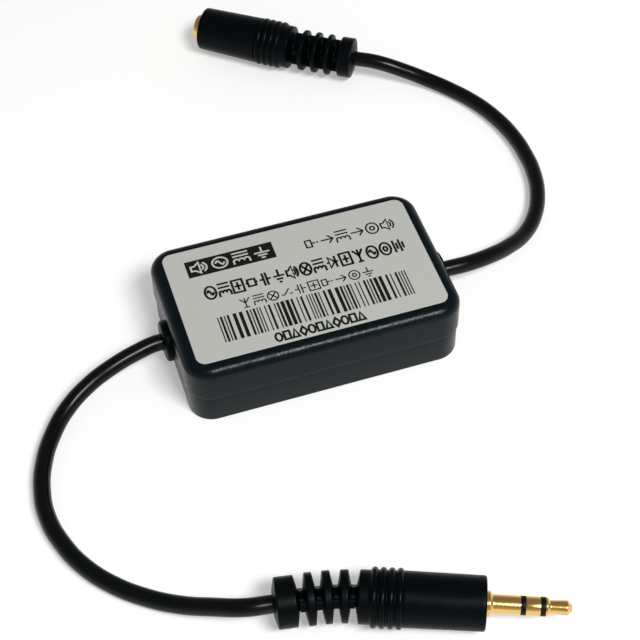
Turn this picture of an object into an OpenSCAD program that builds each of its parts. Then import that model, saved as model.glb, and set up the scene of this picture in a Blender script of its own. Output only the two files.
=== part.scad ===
// In-line ground loop isolator for 3.5 mm stereo audio leads.
// A snap-together box holds one small isolating transformer for each channel.
// A moulded plug hangs on a short cord at one end, a moulded socket on one at the other.
// Origin: middle of the box's underside. +X runs along the box to the socket cord, +Y back, +Z up.

/* [Box] */
// Length of the box over its end walls
case_l = 58; // [52:0.5:70]
// Width of the box over its long walls
case_w = 35.6; // [33:0.2:44]
// Height of the box without its label
case_h = 15.4; // [14.8:0.2:20]
// Height of the seam between the two shells
seam_h = 7.1; // [6.6:0.1:7.8]
// Radius of the upright corners
corner_r = 5.3; // [4.5:0.1:8]
// Rounding of the top edge
top_round = 2.2; // [1:0.1:2.6]
// Rounding of the bottom edge
bottom_round = 0.4; // [0.2:0.1:1]
// How far the lower shell stands back at the seam
seam_step = 0.3; // [0.1:0.05:0.5]
// Thickness of the side walls
wall = 1.8; // [1.5:0.1:2.2]
// Thickness of the top
top_t = 1.8; // [1.4:0.1:2]
// Thickness of the floor
floor_t = 1.8; // [1.4:0.1:2.2]
// Height of the tongue that rises from the lower shell
tongue_h = 1.3; // [0.8:0.1:2]
// Thickness of the tongue
tongue_t = 0.8; // [0.5:0.1:1]
// Length of each snap ridge on the tongue
snap_l = 8; // [5:0.5:10]
// Radius of each snap ridge
snap_r = 0.25; // [0.15:0.05:0.3]

/* [Label] */
// Bare border of the top round the label
label_margin = 2.7; // [2.6:0.1:6]
// Corner radius of the label
label_r = 2; // [0.5:0.1:4]
// Thickness of the label
label_t = 0.2; // [0.1:0.05:0.4]

/* [Cord bushes] */
// Diameter of the dome outside the end wall
dome_d = 8.6; // [8:0.1:10]
// How far the dome stands out
dome_h = 1.5; // [1:0.1:2]
// Diameter of the neck in the end wall
neck_d = 6.2; // [5.6:0.1:6.6]
// Diameter of the flange inside the end wall
flange_d = 8.6; // [7.6:0.1:9]
// Thickness of the flange inside the end wall
flange_t = 1.2; // [0.8:0.1:2]

/* [Cords] */
// Diameter of the cord jacket
cord_d = 3.5; // [3:0.1:3.8]
// Diameter of each insulated wire in the cord
wire_d = 1.1; // [0.8:0.1:1.2]
// Diameter of the bared end of each wire
strand_d = 0.6; // [0.4:0.1:0.7]

/* [Grip moulding] */
// Diameter of the moulding at its front face
face_d = 10.1; // [9.4:0.1:10.4]
// Diameter of the moulding just before the grip rings
grip_d = 10.5; // [10:0.1:10.9]
// Length from the front face to the first grip ring
grip_l = 15; // [12:0.5:20]
// Rounding of the front edge
face_round = 0.5; // [0.2:0.1:1]
// Diameter over the grip rings
ring_d = 11.3; // [11:0.1:12]
// Width of the groove between two grip rings
ring_gap = 0.15; // [0.1:0.05:0.3]
// Number of grip rings
ring_count = 4; // [2:1:6]
// Distance from one grip ring to the next
ring_pitch = 1.5; // [1.2:0.1:2]
// Diameter of the plain band behind the rings
band_d = 10; // [9.6:0.1:10.4]
// Length of the plain band behind the rings
band_l = 2.5; // [1.5:0.1:4]
// Number of fins on the strain relief
fin_count = 3; // [2:1:5]
// Distance from one fin to the next
fin_pitch = 3; // [2.6:0.1:4]
// Distance from the band, and from the collar, to the nearest fin
fin_gap = 2.4; // [1.8:0.1:3.2]
// Diameter of the fins
fin_d = 9.6; // [9:0.1:10]
// Thickness of a fin at its rim
fin_rim_t = 1; // [0.6:0.1:1.2]
// Thickness of a fin at its root
fin_root_t = 2.2; // [1.6:0.1:2.4]
// Width of the flat web that joins the fins, across the moulding
web_w = 7.6; // [6:0.1:8.4]
// Thickness of the web
web_t = 3.2; // [2.4:0.1:3.8]
// Diameter of the round core round the cord
core_d = 3.9; // [3.9:0.1:5]
// Turn of the web round the moulding's axis, from straight down
web_turn = 45; // [0:5:90]
// Diameter of the end collar
end_d = 9.5; // [8.6:0.1:10]
// Length of the end collar
end_l = 4.4; // [3:0.1:6]
// Slope of the faces of the band and the collar, from root to rim
draft = 0.4; // [0.1:0.1:0.6]

/* [Plug] */
// Diameter of the plug pin
pin_d = 3.5; // [3.4:0.05:3.6]
// Length of the pin in front of its shoulder
pin_l = 14.6; // [14:0.1:15]
// Length of the sleeve contact in front of the shoulder
sleeve_l = 5.4; // [4.8:0.1:6]
// Length of the ring contact
ring_l = 2.6; // [2.2:0.1:3]
// Length of each insulating band
band_t = 0.95; // [0.7:0.05:1.2]
// Diameter of the shoulder
shoulder_d = 4.8; // [4.4:0.1:5.4]
// Thickness of the shoulder
shoulder_t = 0.75; // [0.6:0.05:1]
// Bevel of the shoulder's front edge
shoulder_bevel = 0.2; // [0.05:0.05:0.3]
// Length of the small cone where the pin leaves the shoulder
cone_l = 0.4; // [0.1:0.05:0.4]
// Length of the full-width skirt of the tip
tip_skirt = 0.35; // [0.2:0.05:0.5]
// Distance from the back of the tip to its narrow neck
tip_neck_s = 0.7; // [0.6:0.05:1]
// Diameter of the narrow neck of the tip
tip_neck_d = 2.55; // [2.3:0.05:2.8]
// Diameter of the bulb of the tip
tip_bulb_d = 2.9; // [2.85:0.05:3.2]
// Length of the nose of the tip, in front of the bulb
tip_nose = 1; // [0.6:0.1:1.4]
// Diameter of the flat end of the tip
tip_end_d = 1.4; // [0.8:0.1:1.8]
// Diameter of the rod behind the tip
rod_d = 1.1; // [0.9:0.1:1.2]
// Wall of each tube inside the pin
tube_t = 0.26; // [0.22:0.02:0.28]
// Diameter of the barrel held in the moulding
barrel_d = 4.8; // [4.4:0.1:6]
// Length of the barrel held in the moulding
barrel_l = 5; // [4:0.5:8]
// Step by which each inner contact reaches further back
lug_step = 1; // [0.6:0.1:1.5]

/* [Socket] */
// Diameter of the socket's bore
bore_d = 3.6; // [3.55:0.05:3.8]
// Diameter of the metal mouth
mouth_d = 5.8; // [5.2:0.1:6.2]
// How far the mouth stands out of the moulding
mouth_out = 1.5; // [0.8:0.1:2.5]
// Length of the mouth inside the moulding
mouth_in = 4; // [3:0.5:6]
// Rounding of the mouth's outer rim
mouth_round = 0.6; // [0.2:0.05:0.7]
// Width of the slit in the mouth
slit_w = 0.3; // [0.2:0.05:0.5]
// Diameter of the contact carrier behind the mouth
carrier_d = 6.8; // [6.4:0.1:7.4]
// Length of the contact carrier
carrier_l = 12; // [11:0.5:14]
// Diameter of the carrier's bore
carrier_bore_d = 4.2; // [4:0.1:4.4]
// Wall left outside each spring's slot
slot_wall = 0.7; // [0.5:0.05:0.9]
// Thickness of the carrier's closed end
carrier_end_t = 1.4; // [1:0.1:2]
// Thickness of the contact springs
spring_t = 0.25; // [0.2:0.05:0.35]
// Width of the contact springs
spring_w = 1.4; // [1:0.1:1.6]
// How far a spring reaches into the bore
spring_dip = 0.25; // [0.1:0.05:0.4]
// Length of each slope of a spring's bow
spring_bow = 2.2; // [1.6:0.1:2.4]
// Distance from the mouth's rim to the ring spring
ring_reach = 8.2; // [7.6:0.1:8.8]
// Distance from the mouth's rim to the tip spring
tip_reach = 12.2; // [11.4:0.1:12.8]

/* [Board] */
// Room between each end of the board and the end wall
board_end_gap = 5.2; // [4.6:0.1:6.4]
// Room between each side of the board and the long wall
board_side_gap = 1.5; // [0.8:0.1:1.8]
// Thickness of the circuit board
board_t = 1; // [0.8:0.1:1.2]
// Height of the board above the floor
board_lift = 1.3; // [1.2:0.1:1.4]
// Distance of the post holes from the board's edges
post_inset = 2; // [1.8:0.1:2.4]
// Diameter of the posts that carry the board
post_d = 3; // [2.4:0.1:3.2]
// Diameter of the pegs through the board
peg_d = 1.4; // [1.2:0.1:1.6]
// How far the pegs reach into the upper posts
peg_reach = 0.5; // [0.3:0.1:1]
// Distance of the wire holes from the board's ends
wire_inset = 5; // [4:0.5:7]
// Distance between neighbouring wire holes
wire_pitch = 4; // [3:0.5:5]
// Straight run of each wire behind the jacket
wire_straight = 1.5; // [1:0.1:2.5]
// Width of a solder joint's rim round its lead, at the board
solder_rim = 0.6; // [0.4:0.05:0.7]
// Width of a solder joint's rim at its point
solder_tip = 0.15; // [0.1:0.05:0.2]

/* [Transformers] */
// Length of the core along the box
core_l = 14; // [13:0.5:16]
// Width of the core across the box
core_w = 12; // [11.4:0.2:12.4]
// Room between the transformers and the top of the box
lid_gap = 1.1; // [0.6:0.1:1.6]
// Width of the core's middle leg
leg_w = 3; // [2.6:0.1:3.4]
// Width of the core's side legs
side_leg_w = 1.5; // [1.2:0.1:1.7]
// Thickness of the core's back
back_t = 1.6; // [1.2:0.1:2]
// Wall of the bobbin's tube
bobbin_t = 0.5; // [0.4:0.05:0.6]
// Thickness of the bobbin's three cheeks
cheek_t = 0.6; // [0.5:0.05:0.8]
// Depth of each winding
winding_t = 1.4; // [1:0.1:1.5]
// How far the cheeks stand over the windings
cheek_over = 0.2; // [0.1:0.05:0.3]
// How far the pin rails reach beyond the core
rail_out = 0.5; // [0.2:0.1:1]
// Diameter of the bobbin's pins
lead_d = 0.6; // [0.5:0.05:0.7]
// Distance between the two pins of a rail
lead_pitch = 7; // [5:0.5:8]
// Length of a pin below the board
lead_tail = 0.9; // [0.8:0.05:1]
// Distance between the two transformers' middles
transformer_pitch = 13.4; // [13:0.1:15]
// Thickness of the tape round each core
tape_t = 0.15; // [0.1:0.05:0.2]
// How far the tape stays short of the core's top and bottom
tape_inset = 0.6; // [0.2:0.1:1]

/* [Place of the plug and socket] */
// Plug: place of its front face along the box
plug_x = 10; // [5:0.5:20]
// Plug: place of its front face in front of the box
plug_y = -76.8; // [-80:0.2:-70]
// Plug: heading of its pin
plug_turn = -22; // [-30:1:-15]
// Plug: bend of its strain relief
plug_bend = 12; // [3:1:16]
// Socket: place of its front face along the box
jack_x = 4; // [0:0.5:10]
// Socket: place of its front face behind the box
jack_y = 94.4; // [90:0.2:98]
// Socket: heading of its mouth
jack_turn = 142.5; // [135:0.5:150]
// Socket: bend of its strain relief
jack_bend = 5; // [3:1:12]

/* [Fits] */
// Gap between round pieces that fit in each other
fit = 0.02; // [0.02:0.01:0.04]
// Gap between moulded pieces that slide together
slide = 0.1; // [0.05:0.05:0.2]

/* [Hidden] */
$fn = 64;
// Facets of small round pieces
fine = 32;
// How far a cut runs past the face that it opens
eps = 0.01;
// How far the joined forms of one moulding run into each other
weld = 0.1;

black = "#17191b";
jacket_black = "#101113";
gold = "#d8a84a";
silver = "#b9bbb4";
tin = "#b5b8ba";

// The cavity of the box
room_l = case_l - 2 * wall;
room_w = case_w - 2 * wall;
room_r = corner_r - wall;
room_top = case_h - top_t;
snap_x = case_l / 4;

// The board on its posts, with the wires' holes
board_l = room_l - 2 * board_end_gap;
board_w = room_w - 2 * board_side_gap;
board_z = floor_t + board_lift;
board_top = board_z + board_t;
solder_h = lead_tail - slide;
wire_reach = board_l / 2 - wire_inset;
post_x = board_l / 2 - post_inset;
post_y = board_w / 2 - post_inset;
hole_d = peg_d + 2 * slide;
wire_hole_d = strand_d + 2 * slide;
lead_hole_d = lead_d + 2 * slide;

// The jacket ends flush with the bush's inner flange
jacket_x = case_l / 2 - wall - flange_t;
exit_x = case_l / 2 + dome_h;
cord_r = cord_d / 2;

// The transformer, measured from the middle of its core
window_l = core_l - 2 * back_t;
// The core fills the height that the windings and cheeks leave under the lid
cheek_depth = bobbin_t + winding_t + cheek_over;
cheek_w = leg_w + 2 * cheek_depth;
cheek_h = room_top - board_top - lid_gap;
core_t = cheek_h - 2 * cheek_depth;
rail_h = cheek_depth - 2 * slide;
tape_h = core_t - 2 * tape_inset;
coil_l = (window_l - 2 * slide - 3 * cheek_t) / 2;
coil_x = (coil_l + cheek_t) / 2;
core_z = board_top + cheek_h / 2;
rail_x = core_l / 2 + rail_out;
rail_in_x = window_l / 2 - slide;
lead_x = (rail_x + core_l / 2 - back_t) / 2;
lead_y = lead_pitch / 2;
lead_bottom = board_z - lead_tail;
lead_top = board_top + rail_h - slide;
side_y = transformer_pitch / 2;

// The grip moulding, measured back from its front face
band_s = grip_l + ring_count * ring_pitch;
bend_s = band_s + band_l;
bend_l = 2 * fin_gap + (fin_count - 1) * fin_pitch;
// The grip rings rest on the table
axis_z = ring_d / 2 + fit;
// A slim peg inside the core joins it to the band and the collar
peg_r = core_d / 4;
// Section of a grip ring: its radius, and how far round it goes from its crest
ring_r = (ring_pitch - ring_gap) / 2;
ring_arc = 75;

// The pin: where each contact ends, forward from the shoulder
ring_start = sleeve_l + band_t;
ring_end = ring_start + ring_l;
tip_start = ring_end + band_t;
rod_r = rod_d / 2;
tip_tube_r = rod_r + fit + tube_t;
ring_tube_r = tip_tube_r + fit + tube_t;
ring_sleeve_r = ring_tube_r + fit + tube_t;

// The socket: its mouth's wall, its carrier and the springs in its slots
mouth_t = (mouth_d - bore_d) / 2;
carrier_s = mouth_in + carrier_l;
spring_y = bore_d / 2 - spring_dip;
slot_w = spring_w + 2 * slide;
slot_y = carrier_d / 2 - slot_wall;

// Routes of the two free cords, as they lie on the table
cord_z = cord_r + fit;
plug_bends = [[-32, 0, seam_h], [-36, -0.8, 6.9], [-41.5, -2.2, 6.1], [-47, -4, 4.6],
    [-52.5, -7.3, 2.9], [-56.6, -12, 1.9], [-59.6, -18, cord_z], [-61.3, -24.5, cord_z],
    [-61.5, -31, cord_z], [-60, -37.5, cord_z], [-57.3, -43.5, cord_z], [-53, -49.2, cord_z],
    [-47.6, -54, 1.9], [-42, -58, 2.8], [-37, -61, 4.3]];
jack_bends = [[32, 0, seam_h], [36.5, 0.2, 6.8], [42, 1.6, 5.8], [47.5, 4.2, 4.1],
    [52.8, 7.8, 2.5], [57.3, 12.6, 1.9], [60.6, 18.5, cord_z], [62.5, 25, cord_z],
    [63.1, 31.8, cord_z], [62.7, 38.6, cord_z], [61.2, 45.2, cord_z], [58.6, 51.6, cord_z],
    [55, 57.4, cord_z], [50.3, 62.4, 2.5], [45, 66, 4.1]];
approach = 5;
cord_sides = 8;
wire_sides = 6;

function bend_r(bend) = bend_l / (bend * PI / 180);

// Rear end of a moulding in its own frame: along the axis, then to the side
function rear_s(bend) = bend_s + bend_r(bend) * sin(bend) + end_l * cos(bend);
function rear_y(bend) = -bend_r(bend) * (1 - cos(bend)) - end_l * sin(bend);

// The same point on the table, and a point some way behind it along the cord
function rear_point(x, y, turn, bend, back = 0) = [
    x - rear_s(bend) * cos(turn) - rear_y(bend) * sin(turn) - back * cos(turn + bend),
    y - rear_s(bend) * sin(turn) + rear_y(bend) * cos(turn) - back * sin(turn + bend),
    axis_z];

plug_route = concat([[-jacket_x, 0, seam_h], [-exit_x, 0, seam_h]], plug_bends,
    [rear_point(plug_x, plug_y, plug_turn, plug_bend, approach),
    rear_point(plug_x, plug_y, plug_turn, plug_bend)]);
jack_route = concat([[jacket_x, 0, seam_h], [exit_x, 0, seam_h]], jack_bends,
    [rear_point(jack_x, jack_y, jack_turn, jack_bend, approach),
    rear_point(jack_x, jack_y, jack_turn, jack_bend)]);

function unit(v) = v / norm(v);

// Direction of a route at one of its points, square across the corner there
function heading(route, i) = i == 0 ? unit(route[1] - route[0])
    : i == len(route) - 1 ? unit(route[i] - route[i - 1])
    : unit(unit(route[i + 1] - route[i]) + unit(route[i] - route[i - 1]));

// One ring of points round a route, square to it
function ring(route, i, r, sides, lean) =
    let (along = heading(route, i), side = unit(cross(along, lean)), up = cross(side, along))
    [for (k = [0:sides - 1])
        route[i] + r * (cos(360 * k / sides) * side + sin(360 * k / sides) * up)];

module tube_along(route, r, sides, lean) {
    last = len(route) - 1;
    points = [for (i = [0:last]) each ring(route, i, r, sides, lean)];
    walls = [for (i = [0:last - 1], k = [0:sides - 1])
        let (a = i * sides + k, b = i * sides + (k + 1) % sides)
        each [[a, b, b + sides], [a, b + sides, a + sides]]];
    near_cap = [for (k = [0:sides - 1]) sides - 1 - k];
    far_cap = [for (k = [0:sides - 1]) last * sides + k];
    polyhedron(points, concat([near_cap], walls, [far_cap]));
}

// A block with round upright corners
module slab(l, w, h, r) {
    for (x = [-1, 1], y = [-1, 1]) {
        translate([x * (l / 2 - r), y * (w / 2 - r), 0])
            cylinder(h = h, r = r);
    }
    translate([-l / 2 + r, -w / 2, 0])
        cube([l - 2 * r, w, h]);
    translate([-l / 2, -w / 2 + r, 0])
        cube([l, w - 2 * r, h]);
}

// Half of an upright section whose outer top corner is rounded
module half_section(half, h, round_r) {
    square([half, h - round_r]);
    square([half - round_r, h]);
    translate([half - round_r, h - round_r])
        circle(r = round_r);
}

module full_section(half, h, round_r) {
    half_section(half, h, round_r);
    mirror([1, 0])
        half_section(half, h, round_r);
}

// A block with round upright corners and a rounded top edge
module round_block(l, w, h, r, round_r) {
    for (x = [-1, 1], y = [-1, 1]) {
        translate([x * (l / 2 - r), y * (w / 2 - r), 0])
            rotate_extrude()
                half_section(r, h, round_r);
    }
    translate([-l / 2 + r, 0, 0])
        rotate([90, 0, 90])
            linear_extrude(l - 2 * r)
                full_section(w / 2, h, round_r);
    translate([0, w / 2 - r, 0])
        rotate([90, 0, 0])
            linear_extrude(w - 2 * r)
                full_section(l / 2, h, round_r);
}

// Both end walls are cut for the bushes, half in each shell
module bush_holes() {
    translate([-case_l / 2 - eps, 0, seam_h])
        rotate([0, 90, 0])
            cylinder(h = case_l + 2 * eps, d = neck_d + 2 * fit);
}

module at_posts() {
    for (x = [-post_x, post_x], y = [-post_y, post_y]) {
        translate([x, y, 0])
            children();
    }
}

// The four snap ridges, two along each long side
module snap_ridges(r) {
    tongue_y = room_w / 2 + tongue_t;
    for (x = [-snap_x, snap_x], y = [-tongue_y, tongue_y]) {
        translate([x - snap_l / 2, y, seam_h + tongue_h / 2])
            rotate([0, 90, 0])
                cylinder(h = snap_l, r = r, $fn = fine);
    }
}

module top_shell() {
    rebate = tongue_t + slide;
    color(black)
    difference() {
        union() {
            difference() {
                translate([0, 0, seam_h])
                    round_block(case_l, case_w, case_h - seam_h, corner_r, top_round);
                translate([0, 0, seam_h - eps])
                    slab(room_l, room_w, room_top - seam_h + eps, room_r);
                translate([0, 0, seam_h - eps])
                    slab(room_l + 2 * rebate, room_w + 2 * rebate, tongue_h + slide + eps,
                        room_r + rebate);
            }
            at_posts()
                translate([0, 0, board_top])
                    cylinder(h = room_top - board_top + eps, d = post_d);
        }
        at_posts()
            translate([0, 0, board_top - eps])
                cylinder(h = 2 * peg_reach, d = hole_d);
        snap_ridges(snap_r + slide / 2);
        bush_holes();
    }
}

module bottom_shell() {
    out_l = case_l - 2 * seam_step;
    out_w = case_w - 2 * seam_step;
    color(black)
    difference() {
        union() {
            difference() {
                union() {
                    translate([0, 0, seam_h])
                        mirror([0, 0, 1])
                            round_block(out_l, out_w, seam_h, corner_r - seam_step, bottom_round);
                    translate([0, 0, seam_h - eps])
                        slab(room_l + 2 * tongue_t, room_w + 2 * tongue_t, tongue_h + eps,
                            room_r + tongue_t);
                }
                translate([0, 0, floor_t])
                    slab(room_l, room_w, case_h, room_r);
            }
            snap_ridges(snap_r);
            at_posts()
                translate([0, 0, floor_t - eps])
                    cylinder(h = board_lift + eps, d = post_d);
            at_posts()
                translate([0, 0, floor_t])
                    cylinder(h = board_lift + board_t + peg_reach, d = peg_d);
        }
        bush_holes();
    }
}

module label() {
    color(silver)
    translate([0, 0, case_h])
        slab(case_l - 2 * label_margin, case_w - 2 * label_margin, label_t, label_r);
}

// A moulded bush: dome outside, neck in the wall, flange inside, bored for the jacket
module cord_bush() {
    bore_r = cord_r + fit;
    dome_edge = 0.4;
    dome_flat = dome_d / 2 - dome_h + dome_edge;
    color(black)
    translate([case_l / 2, 0, seam_h])
    rotate([0, 90, 0])
    rotate_extrude()
    difference() {
        union() {
            translate([0, -wall - flange_t])
                square([flange_d / 2, flange_t]);
            translate([0, -wall - eps])
                square([neck_d / 2, wall + 2 * eps]);
            square([dome_d / 2, dome_edge]);
            square([dome_flat, dome_h]);
            translate([dome_flat, dome_edge])
                circle(r = dome_h - dome_edge);
        }
        translate([0, -wall - flange_t - eps])
            square([bore_r, wall + flange_t + dome_h + 2 * eps]);
        translate([0, -case_l])
            square([dome_d, case_l - wall - flange_t]);
        translate([neck_d / 2, -wall])
            square([dome_d, wall]);
    }
}

module plug_cord_bush() {
    mirror([1, 0, 0])
        cord_bush();
}

module jack_cord_bush() {
    cord_bush();
}

module at_wire_holes() {
    for (x = [-wire_reach, wire_reach], y = [-wire_pitch, 0, wire_pitch]) {
        translate([x, y, 0])
            children();
    }
}

module at_leads(y) {
    for (x = [-lead_x, lead_x], side = [-lead_y, lead_y]) {
        translate([x, y + side, 0])
            children();
    }
}

module circuit_board() {
    color("#2f6b3a")
    difference() {
        translate([-board_l / 2, -board_w / 2, board_z])
            cube([board_l, board_w, board_t]);
        at_posts()
            translate([0, 0, board_z - eps])
                cylinder(h = board_t + 2 * eps, d = hole_d);
        at_wire_holes()
            translate([0, 0, board_z - eps])
                cylinder(h = board_t + 2 * eps, d = wire_hole_d, $fn = fine);
        for (y = [-side_y, side_y]) {
            at_leads(y)
                translate([0, 0, board_z - eps])
                    cylinder(h = board_t + 2 * eps, d = lead_hole_d, $fn = fine);
        }
    }
}

// A solder cone under the board, with the lead's hole through it
module solder_cone(hole) {
    inner = hole / 2 + fit;
    translate([0, 0, board_z - solder_h])
        rotate_extrude($fn = fine)
            polygon([[inner, 0], [hole / 2 + solder_tip, 0], [hole / 2 + solder_rim, solder_h],
                [inner, solder_h]]);
}

module solder_joints() {
    color(tin) {
        at_wire_holes()
            solder_cone(strand_d);
        at_leads(-side_y)
            solder_cone(lead_d);
        at_leads(side_y)
            solder_cone(lead_d);
    }
}

// An E-shaped half of the core, its three legs ending at the middle plane
module core_half() {
    color("#3a3c3f")
    translate([0, 0, -core_t / 2])
        linear_extrude(core_t)
            difference() {
                translate([0, -core_w / 2])
                    square([core_l / 2, core_w]);
                for (side = [-1, 1]) {
                    mid = side * (core_w / 2 - side_leg_w + leg_w / 2) / 2;
                    gap = core_w / 2 - side_leg_w - leg_w / 2;
                    translate([-eps, mid - gap / 2])
                        square([window_l / 2 + eps, gap]);
                }
            }
}

// The tube round the middle leg, three cheeks and a pin rail at each end
module bobbin() {
    tube_w = leg_w + 2 * bobbin_t;
    tube_h = core_t + 2 * bobbin_t;
    tube_l = window_l - 2 * slide;
    rail_w = core_w - 2 * side_leg_w;
    color("#e4e0d2")
    difference() {
        union() {
            translate([-tube_l / 2, -tube_w / 2, -tube_h / 2])
                cube([tube_l, tube_w, tube_h]);
            for (x = [-tube_l / 2, -cheek_t / 2, tube_l / 2 - cheek_t]) {
                translate([x, -cheek_w / 2, -cheek_h / 2])
                    cube([cheek_t, cheek_w, cheek_h]);
            }
            for (side = [0, 1]) {
                mirror([side, 0, 0])
                    translate([rail_in_x - cheek_t, -rail_w / 2, -cheek_h / 2])
                        cube([rail_x - rail_in_x + cheek_t, rail_w, rail_h]);
            }
        }
        translate([-core_l / 2, -leg_w / 2 - fit, -core_t / 2 - fit])
            cube([core_l, leg_w + 2 * fit, core_t + 2 * fit]);
        at_leads(0)
            translate([0, 0, -cheek_h / 2 - eps])
                cylinder(h = rail_h - slide + eps, d = lead_d + 2 * fit, $fn = fine);
    }
}

// A winding on the bobbin's tube, its corners rounded by the turning wire
module winding() {
    inner_w = leg_w + 2 * bobbin_t + 2 * fit;
    inner_h = core_t + 2 * bobbin_t + 2 * fit;
    color("#9c5a2c")
    translate([-coil_l / 2 + fit, 0, 0])
        rotate([90, 0, 90])
            difference() {
                slab(inner_w + 2 * winding_t, inner_h + 2 * winding_t, coil_l - 2 * fit,
                    winding_t);
                translate([-inner_w / 2, -inner_h / 2, -eps])
                    cube([inner_w, inner_h, coil_l]);
            }
}

// Tape round the outside of both halves of the core
module core_tape() {
    color("#c9b23a")
    translate([0, 0, -tape_h / 2])
        linear_extrude(tape_h)
            difference() {
                square([core_l + 2 * (tape_t + fit), core_w + 2 * (tape_t + fit)], center = true);
                square([core_l + 2 * fit, core_w + 2 * fit], center = true);
            }
}

module lead_pins(y) {
    color(tin)
    at_leads(y)
        translate([0, 0, lead_bottom])
            cylinder(h = lead_top - lead_bottom, d = lead_d, $fn = fine);
}

module in_transformer(y) {
    translate([0, y, core_z])
        children();
}

module left_core_in() {
    in_transformer(side_y)
        mirror([1, 0, 0])
            core_half();
}

module left_core_out() {
    in_transformer(side_y)
        core_half();
}

module left_bobbin() {
    in_transformer(side_y)
        bobbin();
}

module left_primary() {
    in_transformer(side_y)
        translate([-coil_x, 0, 0])
            winding();
}

module left_secondary() {
    in_transformer(side_y)
        translate([coil_x, 0, 0])
            winding();
}

module left_core_tape() {
    in_transformer(side_y)
        core_tape();
}

module left_pins() {
    lead_pins(side_y);
}

module right_core_in() {
    in_transformer(-side_y)
        mirror([1, 0, 0])
            core_half();
}

module right_core_out() {
    in_transformer(-side_y)
        core_half();
}

module right_bobbin() {
    in_transformer(-side_y)
        bobbin();
}

module right_primary() {
    in_transformer(-side_y)
        translate([-coil_x, 0, 0])
            winding();
}

module right_secondary() {
    in_transformer(-side_y)
        translate([coil_x, 0, 0])
            winding();
}

module right_core_tape() {
    in_transformer(-side_y)
        core_tape();
}

module right_pins() {
    lead_pins(-side_y);
}

// A wire from the jacket's end: straight, then a quarter turn down to its hole in the board.
// The three wires start as close as their thickness lets them, two below and one above.
module board_wire(end, row, tint) {
    spread = (wire_d + fit) / norm([1, 1.5]);
    start_y = row * spread;
    start_z = seam_h + (row == 0 ? spread : -spread / 2);
    foot = [wire_reach, row * wire_pitch, board_top];
    run = jacket_x - wire_straight - wire_reach;
    drop = start_z - board_top - wire_d;
    turn = [for (angle = [0:22.5:90]) [wire_reach + run * (1 - sin(angle)),
        start_y + (foot[1] - start_y) * (1 - cos(angle)), start_z - drop * (1 - cos(angle))]];
    color(tint)
    scale([end, 1, 1]) {
        tube_along(concat([[jacket_x, start_y, start_z]], turn, [foot]), wire_d / 2, wire_sides,
            [0, 1, 0]);
        translate([foot[0], foot[1], lead_bottom])
            cylinder(h = board_top - lead_bottom + eps, d = strand_d, $fn = fine);
    }
}

module plug_left_wire() {
    board_wire(-1, 1, "#d8d8d4");
}

module plug_right_wire() {
    board_wire(-1, -1, "#b8322c");
}

module plug_ground_wire() {
    board_wire(-1, 0, "#b9763e");
}

module jack_left_wire() {
    board_wire(1, 1, "#d8d8d4");
}

module jack_right_wire() {
    board_wire(1, -1, "#b8322c");
}

module jack_ground_wire() {
    board_wire(1, 0, "#b9763e");
}

// Puts a plug or socket down: its front face at x and y, its axis along the table
module laid(x, y, turn) {
    translate([x, y, axis_z])
        rotate([0, 0, turn])
            rotate([0, 90, 0])
                children();
}

module lay_plug() {
    laid(plug_x, plug_y, plug_turn)
        children();
}

module lay_jack() {
    laid(jack_x, jack_y, jack_turn)
        children();
}

// Puts a slice of the strain relief at an angle along its bend
module at_bend(bend, angle) {
    translate([0, -bend_r(bend), -bend_s])
        rotate([-angle, 0, 0])
            translate([0, bend_r(bend), 0])
                children();
}

// Points round an arc of the outline, from one angle to another
function arc(centre, r, from, to, steps) =
    [for (i = [0:steps])
        let (angle = from + (to - from) * i / steps)
        centre + r * [cos(angle), sin(angle)]];

// Outline of the straight part: rounded face, taper, round grip rings and plain band
function grip_outline() =
    concat([[0, 0]],
        arc([face_d / 2 - face_round, -face_round], face_round, 90, 0, 4),
        [[grip_d / 2, -grip_l]],
        [for (i = [0:ring_count - 1])
            let (middle = -grip_l - (i + 0.5) * ring_pitch)
            each arc([ring_d / 2 - ring_r, middle], ring_r, ring_arc, -ring_arc, 6)],
        [[band_d / 2, -band_s], [band_d / 2, draft - bend_s], [peg_r, -bend_s],
        [peg_r, -bend_s - weld], [0, -bend_s - weld]]);

// A fin, thicker at its root than at its rim
module fin() {
    rotate_extrude()
        polygon([[0, -fin_root_t / 2], [peg_r, -fin_root_t / 2], [fin_d / 2, -fin_rim_t / 2],
            [fin_d / 2, fin_rim_t / 2], [peg_r, fin_root_t / 2], [0, fin_root_t / 2]]);
}

// The collar at the rear end, its front face at z = 0 and its rear face flat round the cord
module end_collar() {
    rim = end_d / 2;
    rotate_extrude()
        polygon([[0, -end_l], [cord_r + draft, -end_l], [rim, draft - end_l], [rim, -draft],
            [peg_r, 0], [peg_r, weld], [0, weld]]);
}

module web_section() {
    circle(d = core_d);
    rotate(web_turn - 90)
        square([web_w, web_t], center = true);
}

// The bent core with its web, the fins and the collar at the rear end
module strain_relief(bend) {
    translate([0, -bend_r(bend), -bend_s])
        rotate([-90, 0, 90])
            rotate_extrude(angle = bend)
                translate([bend_r(bend), 0])
                    web_section();
    for (i = [0:fin_count - 1]) {
        at_bend(bend, bend * (fin_gap + i * fin_pitch) / bend_l)
            fin();
    }
    at_bend(bend, bend)
        end_collar();
}

module grip_moulding(bend) {
    rotate_extrude()
        polygon(grip_outline());
    strain_relief(bend);
}

// A cut round the axis that goes back from the front face to s
module back_bore(r, s) {
    translate([0, 0, -s])
        cylinder(h = s + eps, r = r);
}

module plug_handle() {
    color(black)
    lay_plug()
    difference() {
        grip_moulding(plug_bend);
        back_bore(barrel_d / 2 + fit, barrel_l);
        back_bore(ring_sleeve_r + fit, barrel_l + lug_step);
        back_bore(ring_tube_r + fit, barrel_l + 2 * lug_step);
        back_bore(tip_tube_r + fit, barrel_l + 3 * lug_step);
        back_bore(rod_r + fit, barrel_l + 4 * lug_step);
    }
}

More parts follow.
